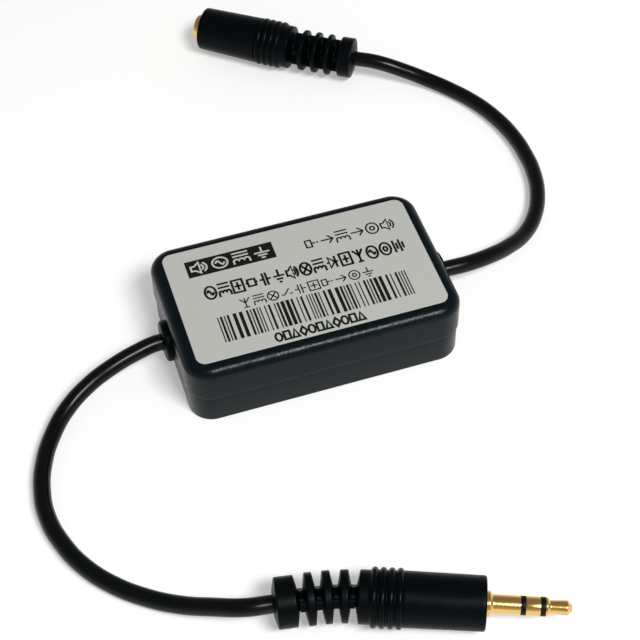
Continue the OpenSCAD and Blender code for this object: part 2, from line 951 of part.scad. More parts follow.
// A turned tube between two places on the pin, measured from the shoulder
module pin_tube(inner, outer, from, to) {
    translate([0, 0, shoulder_t + from])
        difference() {
            cylinder(h = to - from, r = outer);
            translate([0, 0, -eps])
                cylinder(h = to - from + 2 * eps, r = inner);
        }
}

// Outer sleeve with its shoulder, a small cone before it and the barrel in the moulding
module plug_sleeve() {
    bore = ring_sleeve_r + fit;
    pin_r = pin_d / 2;
    rim = shoulder_d / 2;
    front = shoulder_t + sleeve_l;
    color(gold)
    lay_plug()
    rotate_extrude()
        polygon([[bore, -barrel_l], [barrel_d / 2, -barrel_l], [barrel_d / 2, 0], [rim, 0],
            [rim, shoulder_t - shoulder_bevel], [rim - shoulder_bevel, shoulder_t],
            [pin_r + cone_l, shoulder_t], [pin_r, shoulder_t + cone_l], [pin_r, front],
            [bore, front]]);
}

// An inner contact or insulator: a long thin tube with a full-width band at its front
module banded_tube(inner, outer, band_from, band_to, back_s) {
    pin_tube(inner, outer, -shoulder_t - back_s, band_to);
    pin_tube(inner, pin_d / 2, band_from, band_to);
}

module plug_ring_insulator() {
    color("#1a1a1a")
    lay_plug()
        banded_tube(ring_tube_r + fit, ring_sleeve_r, sleeve_l, ring_start,
            barrel_l + lug_step);
}

module plug_ring() {
    color(gold)
    lay_plug()
        banded_tube(tip_tube_r + fit, ring_tube_r, ring_start, ring_end,
            barrel_l + 2 * lug_step);
}

module plug_tip_insulator() {
    color("#1a1a1a")
    lay_plug()
        banded_tube(rod_r + fit, tip_tube_r, ring_end, tip_start,
            barrel_l + 3 * lug_step);
}

// The tip: skirt, waist, bulb and blunt end, turned with its rod
module plug_tip() {
    start = shoulder_t + tip_start;
    end = shoulder_t + pin_l;
    rod_end = -barrel_l - 4 * lug_step;
    color(gold)
    lay_plug()
    rotate_extrude()
        polygon([[0, rod_end], [rod_r, rod_end], [rod_r, start], [pin_d / 2, start],
            [pin_d / 2, start + tip_skirt], [tip_neck_d / 2, start + tip_neck_s],
            [tip_bulb_d / 2, end - tip_nose], [tip_end_d / 2, end], [0, end]]);
}

module jack_handle() {
    color(black)
    lay_jack()
    difference() {
        grip_moulding(jack_bend);
        back_bore(mouth_d / 2 + fit, mouth_in);
        translate([0, 0, -carrier_s])
            cylinder(h = carrier_l, d = carrier_d + 2 * fit);
    }
}

// The metal mouth: a tube with a rounded rim, slit along one side
module jack_mouth() {
    slit_turn = 225;
    color(gold)
    lay_jack()
    difference() {
        rotate_extrude()
        union() {
            translate([bore_d / 2, -mouth_in])
                square([mouth_t, mouth_in + mouth_out - mouth_round]);
            translate([bore_d / 2, mouth_out - mouth_round - eps])
                square([mouth_t - mouth_round, mouth_round + eps]);
            translate([mouth_d / 2 - mouth_round, mouth_out - mouth_round])
                intersection() {
                    circle(r = mouth_round, $fn = fine);
                    square(mouth_round);
                }
        }
        rotate([0, 0, slit_turn])
            translate([bore_d / 2 + mouth_t / 2, -slit_w / 2, -mouth_in - eps])
                cube([mouth_d, slit_w, mouth_in + mouth_out - mouth_round / 2]);
    }
}

// The insulating carrier, bored a little wider than the mouth, with a slot for each spring
module jack_carrier() {
    slot_l = carrier_l - carrier_end_t;
    color("#222426")
    lay_jack()
    difference() {
        translate([0, 0, -carrier_s])
            cylinder(h = carrier_l, d = carrier_d);
        translate([0, 0, -carrier_s + carrier_end_t])
            cylinder(h = carrier_l, d = carrier_bore_d);
        for (side = [0, 1]) {
            mirror([0, side, 0])
                translate([-slot_w / 2, 0, -carrier_s + carrier_end_t])
                    cube([slot_w, slot_y, slot_l + eps]);
        }
    }
}

// A leaf spring in its slot, held at the closed end and bowed into the bore at one place
module leaf_spring(reach) {
    out_y = slot_y - slide - spring_t;
    at = mouth_out - reach;
    bow = min(spring_bow, -mouth_in - slide - at);
    profile = [[-carrier_s + carrier_end_t, out_y], [at - bow, out_y], [at, spring_y],
        [at + bow, out_y]];
    back = [for (i = [len(profile) - 1:-1:0]) profile[i] + [0, spring_t]];
    color(gold)
    rotate([0, -90, 0])
        translate([0, 0, -spring_w / 2])
            linear_extrude(spring_w)
                polygon(concat(profile, back));
}

module jack_ring_spring() {
    lay_jack()
        leaf_spring(ring_reach);
}

module jack_tip_spring() {
    lay_jack()
        mirror([0, 1, 0])
            leaf_spring(tip_reach);
}

module plug_cord() {
    color(jacket_black)
        tube_along(plug_route, cord_r, cord_sides, [0, 0, 1]);
}

module jack_cord() {
    color(jacket_black)
        tube_along(jack_route, cord_r, cord_sides, [0, 0, 1]);
}

top_shell();
bottom_shell();
label();
plug_cord_bush();
jack_cord_bush();
circuit_board();
solder_joints();
left_core_in();
left_core_out();
left_bobbin();
left_primary();
left_secondary();
left_core_tape();
left_pins();
right_core_in();
right_core_out();
right_bobbin();
right_primary();
right_secondary();
right_core_tape();
right_pins();
plug_left_wire();
plug_right_wire();
plug_ground_wire();
jack_left_wire();
jack_right_wire();
jack_ground_wire();
plug_tip();
plug_tip_insulator();
plug_ring();
plug_ring_insulator();
plug_sleeve();
plug_handle();
jack_mouth();
jack_carrier();
jack_tip_spring();
jack_ring_spring();
jack_handle();
plug_cord();
jack_cord();
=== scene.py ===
"""Looks of an in-line ground loop isolator for 3.5 mm stereo leads.

A black snap box with a silver label, a short cord to a moulded plug, a short cord to a moulded socket.
Every length is in metres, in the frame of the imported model: +X along the box to the socket's cord,
+Y back, +Z up, and the origin in the middle of the box's underside.
"""

import math

import bpy
import numpy as np
from bpy.props import FloatProperty, FloatVectorProperty, IntProperty, PointerProperty
from bpy.types import Operator, Panel, PropertyGroup
from mathutils import Matrix, Vector


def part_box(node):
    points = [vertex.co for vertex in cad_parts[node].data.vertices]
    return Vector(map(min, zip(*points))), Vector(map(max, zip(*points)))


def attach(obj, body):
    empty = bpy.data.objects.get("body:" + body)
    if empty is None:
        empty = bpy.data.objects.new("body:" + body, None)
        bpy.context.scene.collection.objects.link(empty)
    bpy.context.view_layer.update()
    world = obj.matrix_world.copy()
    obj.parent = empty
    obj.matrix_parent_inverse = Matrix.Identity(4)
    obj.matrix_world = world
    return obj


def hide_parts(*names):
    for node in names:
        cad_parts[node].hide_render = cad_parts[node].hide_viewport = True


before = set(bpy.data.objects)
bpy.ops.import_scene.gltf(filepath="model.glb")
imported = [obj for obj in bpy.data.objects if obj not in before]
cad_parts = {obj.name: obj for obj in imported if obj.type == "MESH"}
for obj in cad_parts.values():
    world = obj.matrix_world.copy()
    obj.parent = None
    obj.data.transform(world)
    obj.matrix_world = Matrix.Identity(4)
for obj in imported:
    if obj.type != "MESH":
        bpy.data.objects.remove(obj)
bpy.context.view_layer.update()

bl_info = {
    "name": "Ground loop isolator",
    "version": (1, 0, 0),
    "blender": (4, 5, 0),
    "location": "View3D > Sidebar > Isolator",
    "description": "Builds the looks of an in-line audio ground loop isolator on its packed model",
    "category": "Add Mesh",
}

MM = 0.001


def node_box(name):
    """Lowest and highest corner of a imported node, as plain numbers."""
    return [[float(value) for value in corner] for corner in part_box(name)]


END_X, SIDE_Y, CASE_TOP = node_box("top_shell")[1]
FILM_LOW, FILM_HIGH = node_box("label")
BUSH_LOW, BUSH_HIGH = node_box("jack_cord_bush")
HANDLE_LOW, HANDLE_HIGH = node_box("plug_handle")
SEAM_Z = (BUSH_LOW[2] + BUSH_HIGH[2]) / 2
AXIS_Z = (HANDLE_LOW[2] + HANDLE_HIGH[2]) / 2
SHELL_CREASE = 35


def linear(colour):
    """An sRGB hex colour as three linear numbers."""
    channels = [int(colour[i : i + 2], 16) / 255 for i in (1, 3, 5)]
    return [c / 12.92 if c <= 0.04045 else ((c + 0.055) / 1.055) ** 2.4 for c in channels]


def size(name, description, millimetres):
    """A length that a user may change."""
    return FloatProperty(
        name=name,
        description=description,
        default=millimetres * MM,
        min=0,
        unit="LENGTH",
        subtype="DISTANCE",
        precision=5,
    )


def turn(name, description, degrees):
    """An angle that a user may change."""
    return FloatProperty(
        name=name,
        description=description,
        default=math.radians(degrees),
        unit="ROTATION",
        subtype="ANGLE",
    )


def tint(name, description, colour):
    """A colour that a user may change, given as sRGB hex."""
    return FloatVectorProperty(
        name=name,
        description=description,
        default=linear(colour),
        min=0,
        max=1,
        size=3,
        subtype="COLOR",
    )


class CaseSizes(PropertyGroup):
    """Sizes of the two shells that the frame's boxes don't give."""

    corner: size("Corner", "Radius of the upright corners", 5.3)
    top_round: size("Top edge", "Rounding of the top edge", 2.2)
    bottom_round: size("Bottom edge", "Rounding of the bottom edge", 0.5)
    step: size("Step", "How far the lower shell stands back at the seam", 0.3)
    edge: size("Seam edge", "Rounding of both shells' edges at the seam", 0.12)
    shadow: size("Seam line", "Height of the dark line between the shells", 0.25)
    wall: size("Wall", "Thickness of the walls, the top and the floor", 1.8)
    tongue: size("Tongue", "Thickness of the tongue of the lower shell", 0.8)
    tongue_rise: size("Tongue height", "Height of the tongue over the seam", 1.3)
    slide: size("Play", "Gap between the tongue and the upper shell", 0.1)
    neck: size("Bush hole", "Diameter of the hole for each cord's bush", 6.2)


class LabelSizes(PropertyGroup):
    """Sizes of the film and of what is printed on it."""

    corner: size("Corner", "Corner radius of the film", 2)
    ink: size("Ink", "Thickness of the ink over the film", 0.02)
    bar_count: IntProperty(name="Bars", description="Number of bars in the bar row", default=45, min=1)
    bold: size("Bold stroke", "Width of the strokes in the bold row", 0.48)
    thin: size("Thin stroke", "Width of the strokes in the thin rows", 0.28)


class CordSizes(PropertyGroup):
    """Sizes of both cords."""

    diameter: size("Diameter", "Diameter of the jacket", 3.5)
    plug_length: size("Plug cord", "Length of the cord from the box's inside to the plug", 105)
    socket_length: size("Socket cord", "Length of the cord from the box's inside to the socket", 107)
    dome: size("Bush dome", "How far each bush stands out of the end wall", 1.5)
    bush: size("Bush", "Diameter of each bush's dome", 8.6)


class GripSizes:
    """Sizes that the mouldings of the plug and the socket share."""

    face: size("Face", "Diameter at the front face", 10.1)
    swell: size("Grip", "Diameter just before the grip rings", 10.3)
    length: size("Grip length", "Length from the face to the first grip ring", 14.8)
    face_round: size("Face edge", "Rounding of the front edge", 0.5)
    ring: size("Rings", "Diameter over the grip rings", 11.2)
    ring_pitch: size("Ring pitch", "Distance from one grip ring to the next", 1.55)
    ring_gap: size("Ring gap", "Width of the groove between two rings", 0.25)
    ring_count: IntProperty(name="Ring count", description="Number of grip rings", default=4, min=1)
    band: size("Band", "Diameter of the plain band behind the rings", 9.9)
    band_length: size("Band length", "Length of the plain band", 2.5)
    fin_count: IntProperty(name="Fin count", description="Number of fins", default=3, min=1)
    fin_pitch: size("Fin pitch", "Distance from one fin to the next", 3.15)
    fin: size("Fins", "Diameter of the fins", 9.7)
    web_width: size("Web width", "Width of the web that joins the fins", 7.6)
    web_thickness: size("Web thickness", "Thickness of the web", 2.1)
    collar: size("Collar", "Diameter of the end collar", 9.5)
    draft: size("Draft", "Slope of the band's rear face and the collar's faces", 0.6)


class PlugGrip(GripSizes, PropertyGroup):
    """The plug's moulding: its own sizes, and where it lies by its front face."""

    fin_start: size("First fin", "Distance from the band to the first fin's middle", 2.05)
    fin_rim: size("Fin rim", "Thickness of a fin at its rim", 1.35)
    fin_root: size("Fin root", "Thickness of a fin at the core", 2.4)
    core: size("Core", "Diameter of the core round the cord", 3.65)
    relief: size("Relief", "Length of the finned part", 10.4)
    collar_length: size("Collar length", "Length of the end collar", 4.75)
    web_turn: turn("Web turn", "Turn of the web from straight down", 52)
    x: size("X", "Place along the box", 10)
    y: FloatProperty(name="Y", description="Place behind the box", default=-76.8 * MM, unit="LENGTH")
    heading: turn("Heading", "Heading of the pin", -22)
    bend: turn("Bend", "Bend of the strain relief", 12)


class SocketGrip(GripSizes, PropertyGroup):
    """The socket's moulding: its own sizes, and where it lies by its front face."""

    swell: size("Swell", "Diameter of the handle beside the rings", 10.8)
    band: size("Band", "Diameter of the plain band", 10.2)
    fin_start: size("First fin", "Distance from the band to the first fin's middle", 2.7)
    fin_rim: size("Fin rim", "Thickness of a fin at its rim", 0.9)
    fin_root: size("Fin root", "Thickness of a fin at the core", 2.3)
    core: size("Core", "Diameter of the core round the cord", 3.9)
    relief: size("Relief", "Length of the finned part", 11.2)
    collar_length: size("Collar length", "Length of the end collar", 4.15)
    web_turn: turn("Web turn", "Turn of the web from straight down", 45)
    x: size("X", "Place along the box", 4)
    y: size("Y", "Place behind the box", 94.4)
    heading: turn("Heading", "Heading of the mouth", 142.5)
    bend: turn("Bend", "Bend of the strain relief", 5)


class ContactSizes(PropertyGroup):
    """Sizes of the metal and insulating pieces of the plug and the socket."""

    fit: size("Fit", "Gap between pieces that sit in each other", 0.02)
    pin: size("Pin", "Diameter of the pin", 3.5)
    pin_length: size("Pin length", "Length of the pin in front of its shoulder", 14.6)
    sleeve: size("Sleeve", "Length of the sleeve in front of the shoulder", 5.4)
    ring: size("Ring", "Length of the ring contact", 2.6)
    gap: size("Insulator", "Length of each insulating band", 0.95)
    shoulder: size("Shoulder", "Diameter of the shoulder", 4.8)
    shoulder_length: size("Shoulder length", "Thickness of the shoulder", 0.75)
    barrel_length: size("Barrel", "Length of the barrel in the moulding", 5)
    lug: size("Lug step", "Step by which each inner contact reaches further back", 1)
    tube: size("Tube wall", "Wall of each tube inside the pin", 0.26)
    rod: size("Rod", "Diameter of the rod behind the tip", 1.1)
    mouth: size("Mouth", "Diameter of the socket's metal mouth", 6.2)
    bore: size("Bore", "Diameter of the socket's bore", 3.6)
    mouth_out: size("Mouth out", "How far the mouth stands out of the moulding", 1.8)
    mouth_in: size("Mouth in", "Length of the mouth inside the moulding", 4)
    carrier: size("Carrier", "Diameter of the contact carrier", 6.8)
    carrier_length: size("Carrier length", "Length of the contact carrier", 12)


class Colours(PropertyGroup):
    """Colours of the finishes that show."""

    case: tint("Case", "Textured black plastic of the box", "#020E12")
    film: tint("Film", "Silver-grey label film", "#BFC1BA")
    ink: tint("Ink", "Black print on the label", "#0E0E0F")
    moulding: tint("Moulding", "Soft black plastic of the plug and the socket", "#010507")
    jacket: tint("Jacket", "Smooth black plastic of the cords", "#010406")
    gold: tint("Gold", "Plated contacts", "#EABF74")
    insulator: tint("Insulator", "Black insulating bands", "#060505")


class StageSettings(PropertyGroup):
    """Camera, lights and floor."""

    camera_place: FloatVectorProperty(
        name="Camera",
        description="Place of the camera",
        default=(-0.059337, -0.208198, 0.260074),
        unit="LENGTH",
    )
    yaw: turn("Yaw", "Turn of the camera to the right of straight back", 16.74)
    pitch: turn("Pitch", "How far the camera looks down", 49.99)
    roll: turn("Roll", "Lean of the camera", -1.55)
    lens: FloatProperty(
        name="Lens", description="Focal length on a 36 mm wide sensor", default=90.07, unit="CAMERA"
    )
    key_power: FloatProperty(
        name="Key light",
        description="Power of the large soft light over the camera",
        default=9.6,
        unit="POWER",
    )
    floor_half: size("Floor", "Half the width of the floor", 3000)
    sky_low: FloatProperty(
        name="Walls", description="Brightness of the room near the horizon", default=0.5, subtype="FACTOR"
    )
    sky_high: FloatProperty(
        name="Ceiling", description="Brightness of the room overhead", default=0.24, subtype="FACTOR"
    )


def node(tree, kind, inputs=None, **settings):
    """Adds one shader node with its settings; an input is either a value or a socket to link."""
    made = tree.nodes.new(kind)
    for name, value in settings.items():
        setattr(made, name, value)
    for socket, value in (inputs or {}).items():
        if isinstance(value, bpy.types.NodeSocket):
            tree.links.new(value, made.inputs[socket])
        else:
            made.inputs[socket].default_value = value
    return made


def finish(name, colour, roughness, **sockets):
    """A new material whose shader has this colour and roughness. Gives the material, tree and shader."""
    material = bpy.data.materials.new(name)
    material.use_nodes = True
    tree = material.node_tree
    shader = tree.nodes["Principled BSDF"]
    shader.inputs["Base Color"].default_value = (*colour, 1)
    shader.inputs["Roughness"].default_value = roughness
    for socket, value in sockets.items():
        shader.inputs[socket.replace("_", " ")].default_value = value
    return material, tree, shader


def grain(tree, spacing, detail=2.0):
    """Noise whose grains lie this many millimetres apart."""
    place = node(tree, "ShaderNodeTexCoord").outputs["Object"]
    scale = 1 / (spacing * MM)
    noise = node(tree, "ShaderNodeTexNoise", {"Vector": place, "Scale": scale, "Detail": detail})
    return noise.outputs["Fac"]


def stripes(tree, spacing, distortion, direction):
    """Soft stripes this many millimetres apart: a wave texture of scale pi / (10 spacing)."""
    place = node(tree, "ShaderNodeTexCoord").outputs["Object"]
    scale = math.pi / (10 * spacing * MM)
    inputs = {"Vector": place, "Scale": scale, "Distortion": distortion}
    return node(tree, "ShaderNodeTexWave", inputs, bands_direction=direction).outputs["Fac"]


def spread(tree, value, low, high):
    """Takes noise round one half to the range from low to high."""
    inputs = {"Value": value, "From Min": 0.3, "From Max": 0.7, "To Min": low, "To Max": high}
    return node(tree, "ShaderNodeMapRange", inputs).outputs["Result"]


def raise_surface(tree, shader, height, depth):
    """Bumps the shader by a height from 0 to 1 that stands for this many millimetres."""
    bump = node(tree, "ShaderNodeBump", {"Height": height, "Distance": depth * MM})
    tree.links.new(bump.outputs["Normal"], shader.inputs["Normal"])


def mixed_tint(tree, shader, factor, first, second):
    """Colours the shader between two colours by a factor from 0 to 1."""
    inputs = {"Factor": factor, "A": (*first, 1), "B": (*second, 1)}
    mix = node(tree, "ShaderNodeMix", inputs, data_type="RGBA")
    tree.links.new(mix.outputs["Result"], shader.inputs["Base Color"])


def add_grain(tree, shader, bump=None, gloss=None, tones=None):
    """Grain in height, gloss and colour. Each starts with its spacing in millimetres. Then bump has
    its depth, gloss its lowest and highest roughness, tones its two colours, and each may end with
    the detail of its noise."""
    if bump:
        spacing, depth, *detail = bump
        raise_surface(tree, shader, grain(tree, spacing, *detail), depth)
    if gloss:
        spacing, low, high, *detail = gloss
        tree.links.new(spread(tree, grain(tree, spacing, *detail), low, high), shader.inputs["Roughness"])
    if tones:
        spacing, first, second, *detail = tones
        mixed_tint(tree, shader, spread(tree, grain(tree, spacing, *detail), 0, 1), first, second)


def grained(name, colour, roughness, bump=None, gloss=None, tones=None, **sockets):
    """A material with this finish and this grain."""
    material, tree, shader = finish(name, colour, roughness, **sockets)
    add_grain(tree, shader, bump, gloss, tones)
    return material


def shade(colour, share):
    """A colour times a share."""
    return [channel * share for channel in colour]


def textured_abs(colours):
    """Spark-textured moulded ABS: a fine even grain that breaks highlights into sparkle.

    The real grain is about 0.1 mm. It is drawn at 0.45 mm, so that it shows in the render.
    """
    base = colours.case
    return grained(
        "spark_textured_abs", base, 0.28, bump=(0.45, 0.024, 0.0), gloss=(0.9, 0.2, 0.36),
        tones=(6, base, shade(base, 1.12)), Specular_IOR_Level=0.15,
    )


def silver_film(colours):
    """Matt silver polyester film: flat grey with a very fine fleck and a soft sheen."""
    base = colours.film
    fleck = (0.18, shade(base, 0.965), base)
    return grained("matt_silver_polyester", base, 0.42, bump=(0.6, 0.002), tones=fleck, IOR=1.5)


def printed_ink(colours):
    """Thermal transfer ink: dense, a little glossier than the film, with faint pinholes."""
    base = colours.ink
    pinholes = (0.12, base, shade(base, 1.8), 1)
    return grained("thermal_transfer_ink", base, 0.5, tones=pinholes, Specular_IOR_Level=0.15)


def soft_pvc(colours):
    """Soft moulded PVC: a satin black skin with a faint pebble and cloudy gloss.

    The attribute named handled is 1 on the grip rings, which fingers rub smoother than the rest.
    """
    base = colours.moulding
    material, tree, shader = finish("satin_moulded_pvc", base, 0.35, Specular_IOR_Level=0.07)
    add_grain(tree, shader, bump=(0.38, 0.007, 0.5), tones=(3, base, shade(base, 1.15)))
    cloudy = spread(tree, grain(tree, 1.6), 0.3, 0.42)
    handled = node(tree, "ShaderNodeAttribute", attribute_name="handled").outputs["Fac"]
    worn = node(tree, "ShaderNodeMath", {0: handled, 1: -0.1, 2: cloudy}, operation="MULTIPLY_ADD")
    tree.links.new(worn.outputs[0], shader.inputs["Roughness"])
    return material


def jacket_pvc(colours):
    """Extruded PVC jacket: smoother and glossier than the mouldings, with a faint unevenness."""
    base = colours.jacket
    return grained(
        "extruded_pvc_jacket", base, 0.24, bump=(0.8, 0.008), gloss=(2.5, 0.21, 0.27),
        tones=(5, base, shade(base, 1.2)), Specular_IOR_Level=0.2,
    )


def plated_gold(colours):
    """Gold flash on turned brass: bright, a little softened by hair-fine rings from the lathe.

    The piece's UV map runs along its axis in metres, so the rings follow the turning.
    """
    base = colours.gold
    material, tree, shader = finish("gold_plated_brass", base, 0.18, Metallic=1.0)
    along = node(tree, "ShaderNodeUVMap", uv_map="turning").outputs["UV"]
    place = node(tree, "ShaderNodeSeparateXYZ", {"Vector": along}).outputs["X"]
    inputs = {"W": place, "Scale": 1 / (0.12 * MM), "Detail": 2}
    rings = node(tree, "ShaderNodeTexNoise", inputs, noise_dimensions="1D").outputs["Fac"]
    raise_surface(tree, shader, rings, 0.001)
    tree.links.new(spread(tree, rings, 0.15, 0.22), shader.inputs["Roughness"])
    add_grain(tree, shader, tones=(2, base, shade(base, 0.93)))
    return material


def stamped_gold():
    """Gold flash on stamped spring bronze: bright with a faint rolled grain."""
    base = linear("#DDB066")
    gloss, tones = (0.4, 0.18, 0.32), (1.5, base, shade(base, 0.9))
    return grained("gold_plated_spring_bronze", base, 0.24, gloss=gloss, tones=tones, Metallic=1.0)


def moulded_insulator(colours):
    """Glass-filled nylon insulator: dense black, slightly matt from the fibre ends."""
    base = colours.insulator
    tones = (0.5, base, shade(base, 1.6))
    return grained("glass_filled_nylon", base, 0.45, bump=(0.15, 0.003), tones=tones, Specular_IOR_Level=0.15)


def fibre_board():
    """Lacquered glass fibre board: green with the weave of the cloth, 0.5 mm apart, under gloss."""
    material, tree, shader = finish("lacquered_fibre_board", linear("#2E6B3B"), 0.3, Coat_Weight=0.4)
    warp, weft = (stripes(tree, 0.5, 0.3, direction) for direction in ("X", "Y"))
    weave = node(tree, "ShaderNodeMath", {0: warp, 1: weft}, operation="MULTIPLY").outputs[0]
    mixed_tint(tree, shader, weave, linear("#28602F"), linear("#377844"))
    raise_surface(tree, shader, weave, 0.01)
    return material


def tin_solder():
    """Tin solder: a bright grey metal with a frosted, slightly crystalline skin."""
    bump, gloss = (0.3, 0.01, 3), (0.25, 0.2, 0.45, 4)
    return grained("frosted_tin_solder", linear("#C4C7C9"), 0.3, bump=bump, gloss=gloss, Metallic=1.0)


def tinned_wire():
    """Tinned copper wire: smooth bright grey metal with a faintly uneven shine."""
    return grained("tinned_copper_wire", linear("#CDD0D2"), 0.22, gloss=(0.5, 0.15, 0.3), Metallic=1.0)


def pressed_ferrite():
    """Pressed and fired ferrite: charcoal grey, dull, with a sandy grain about 0.2 mm across."""
    sand = (0.2, linear("#323437"), linear("#44464A"), 3)
    return grained("pressed_ferrite", linear("#3A3C3F"), 0.7, bump=(0.2, 0.02, 3), tones=sand)


def natural_nylon():
    """Unpigmented moulded nylon: milky cream that lets some light in."""
    return grained(
        "natural_moulded_nylon", linear("#E4DFD0"), 0.42, tones=(2, linear("#DDD7C6"), linear("#E9E5D8")),
        Subsurface_Weight=0.15, Subsurface_Radius=(0.8 * MM, 0.6 * MM, 0.4 * MM),
    )


def copper_winding():
    """Enamelled copper wire wound side by side: glossy red-brown with turns 0.12 mm apart.

    The stripes run across the box's length, which is the axis that the wire is wound round.
    """
    material, tree, shader = finish("enamelled_copper_winding", linear("#9C5226"), 0.25, Metallic=0.7)
    turns = stripes(tree, 0.12, 0.4, "X")
    mixed_tint(tree, shader, turns, linear("#6E3314"), linear("#B4662F"))
    raise_surface(tree, shader, turns, 0.04)
    return material


def polyester_tape():
    """Yellow polyester tape: thin, glossy, with faint wrinkles where it was pulled tight."""
    base, wrinkles = linear("#D6B53A"), (1.2, linear("#CBA92F"), linear("#E0C24C"))
    return grained("polyester_tape", base, 0.2, bump=(1.2, 0.02), tones=wrinkles, Coat_Weight=0.3)


def wire_pvc(name, colour):
    """Extruded PVC insulation of one wire: smooth, semi-gloss, with a slightly cloudy colour."""
    base = linear(colour)
    return grained(name, base, 0.32, tones=(1.5, base, shade(base, 0.88)))


def bare_copper():
    """Bunched bare copper strands: bright orange metal with strands 0.1 mm apart."""
    material, tree, shader = finish("bunched_copper_strands", linear("#C87B4A"), 0.3, Metallic=1.0)
    strands = stripes(tree, 0.1, 1.5, "DIAGONAL")
    raise_surface(tree, shader, strands, 0.03)
    mixed_tint(tree, shader, strands, linear("#9A5327"), linear("#D68C58"))
    return material


def grid_faces(rows, columns, start=0, close_rows=False):
    """Four-sided faces of a grid of points numbered row by row from start. Each row is a closed ring."""
    down = np.arange(rows if close_rows else rows - 1)
    row, column = np.meshgrid(down, np.arange(columns), indexing="ij")
    next_row, next_column = (row + 1) % rows, (column + 1) % columns
    corners = [(row, column), (row, next_column), (next_row, next_column), (next_row, column)]
    return np.stack([r * columns + c for r, c in corners], -1).reshape(-1, 4) + start


def end_caps(rows, columns, start=0):
    """Two flat faces that close the first and the last row of a tube."""
    first = np.arange(columns)[::-1] + start
    last = np.arange(columns) + (rows - 1) * columns + start
    return [first.tolist(), last.tolist()]


def dress(piece, material, nodes=()):
    """Gives a finished piece its material and its body, and hides the nodes it stands for."""
    piece.data.materials.clear()
    piece.data.materials.append(material)
    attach(piece, "root")
    if nodes:
        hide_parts(*nodes)


def mesh_object(name, points, faces, crease=40.0, flip=False):
    """A mesh object at the origin with smooth faces, sharp where they meet at over crease degrees."""
    mesh = bpy.data.meshes.new(name)
    listed = [list(face)[::-1] if flip else list(face) for face in faces]
    mesh.from_pydata(np.asarray(points).reshape(-1, 3).tolist(), [], listed)
    mesh.validate()
    mesh.polygons.foreach_set("use_smooth", np.ones(len(mesh.polygons), bool))
    mesh.set_sharp_from_angle(angle=math.radians(crease))
    made = bpy.data.objects.new(name, mesh)
    bpy.context.scene.collection.objects.link(made)
    return made


def cut_away(piece, cutters):
    """Takes the cutters' volume out of the piece and removes the cutters."""
    for cutter in cutters:
        modifier = piece.modifiers.new("cut", "BOOLEAN")
        modifier.operation = "DIFFERENCE"
        modifier.solver = "EXACT"
        modifier.object = cutter
    bpy.context.view_layer.update()
    evaluated = piece.evaluated_get(bpy.context.evaluated_depsgraph_get())
    mesh = bpy.data.meshes.new_from_object(evaluated)
    piece.modifiers.clear()
    piece.data = mesh
    mesh.set_sharp_from_angle(angle=math.radians(SHELL_CREASE))
    for cutter in cutters:
        bpy.data.objects.remove(cutter)


def soften(corners, radii, steps=5, closed=False):
    """Rounds the corners of an outline. Each corner P with neighbours A and B becomes the curve
    (1-t)(1-t) P1 + 2t(1-t) P + t t P2, where P1 and P2 lie one radius from P towards A and B,
    but no further than 0.48 of the way. A radius of 0 keeps the corner."""
    corners = np.asarray(corners, float)
    radii = np.broadcast_to(np.asarray(radii, float), len(corners)).copy()
    if not closed:
        radii[[0, -1]] = 0
    before, after = np.roll(corners, 1, 0) - corners, np.roll(corners, -1, 0) - corners
    reach = [np.linalg.norm(edge, axis=1) for edge in (before, after)]
    pull = [np.minimum(radii, 0.48 * length) / np.maximum(length, 1e-12) for length in reach]
    first, last = corners + before * pull[0][:, None], corners + after * pull[1][:, None]
    t = np.linspace(0, 1, steps + 1)[None, :, None]
    curves = (1 - t) ** 2 * first[:, None] + 2 * t * (1 - t) * corners[:, None] + t**2 * last[:, None]
    return np.concatenate([curve if radius > 0 else curve[:1] for curve, radius in zip(curves, radii)])


def rounded_outline(half_length, half_width, corner, steps=14):
    """A ring of points round a rectangle with round corners: each corner is a quarter circle."""
    quarter = np.linspace(0, math.pi / 2, steps + 1)
    angles = np.concatenate([quarter + i * math.pi / 2 for i in range(4)])
    signs = np.repeat([[1, 1], [-1, 1], [-1, -1], [1, -1]], steps + 1, axis=0)
    centres = signs * [half_length - corner, half_width - corner]
    return centres + corner * np.stack([np.cos(angles), np.sin(angles)], -1)


def moulded_box(name, section, half_length, half_width, corner):
    """A closed shell: the section's points, each an inset from the outline and a height, are carried
    round a rectangle whose corner radius shrinks by the inset. Flat faces close both ends."""
    rings = []
    for inset, height in section:
        ring = rounded_outline(half_length - inset, half_width - inset, max(corner - inset, 0.05 * MM))
        rings.append(np.column_stack([ring, np.full(len(ring), height)]))
    rows, columns = len(rings), len(rings[0])
    faces = grid_faces(rows, columns).tolist() + end_caps(rows, columns)
    return mesh_object(name, np.concatenate(rings), faces, crease=SHELL_CREASE)


def laid_down(points, grip):
    """Local points to the table: local Z becomes the moulding's heading, local X points down, and the
    local origin goes to the middle of the moulding's face."""
    turned = np.stack([points[..., 2], points[..., 1], -points[..., 0]], -1)
    c, s = math.cos(grip.heading), math.sin(grip.heading)
    x, y, z = np.moveaxis(turned, -1, 0)
    return np.stack([x * c - y * s, x * s + y * c, z], -1) + [grip.x, grip.y, AXIS_Z]


def at_end_wall(side):
    """Puts a turned piece at one end wall of the box: its axis outwards, its origin at the seam."""
    return lambda points: points[..., [2, 1, 0]] * [side, 1, 1] + [side * END_X, 0, SEAM_Z]


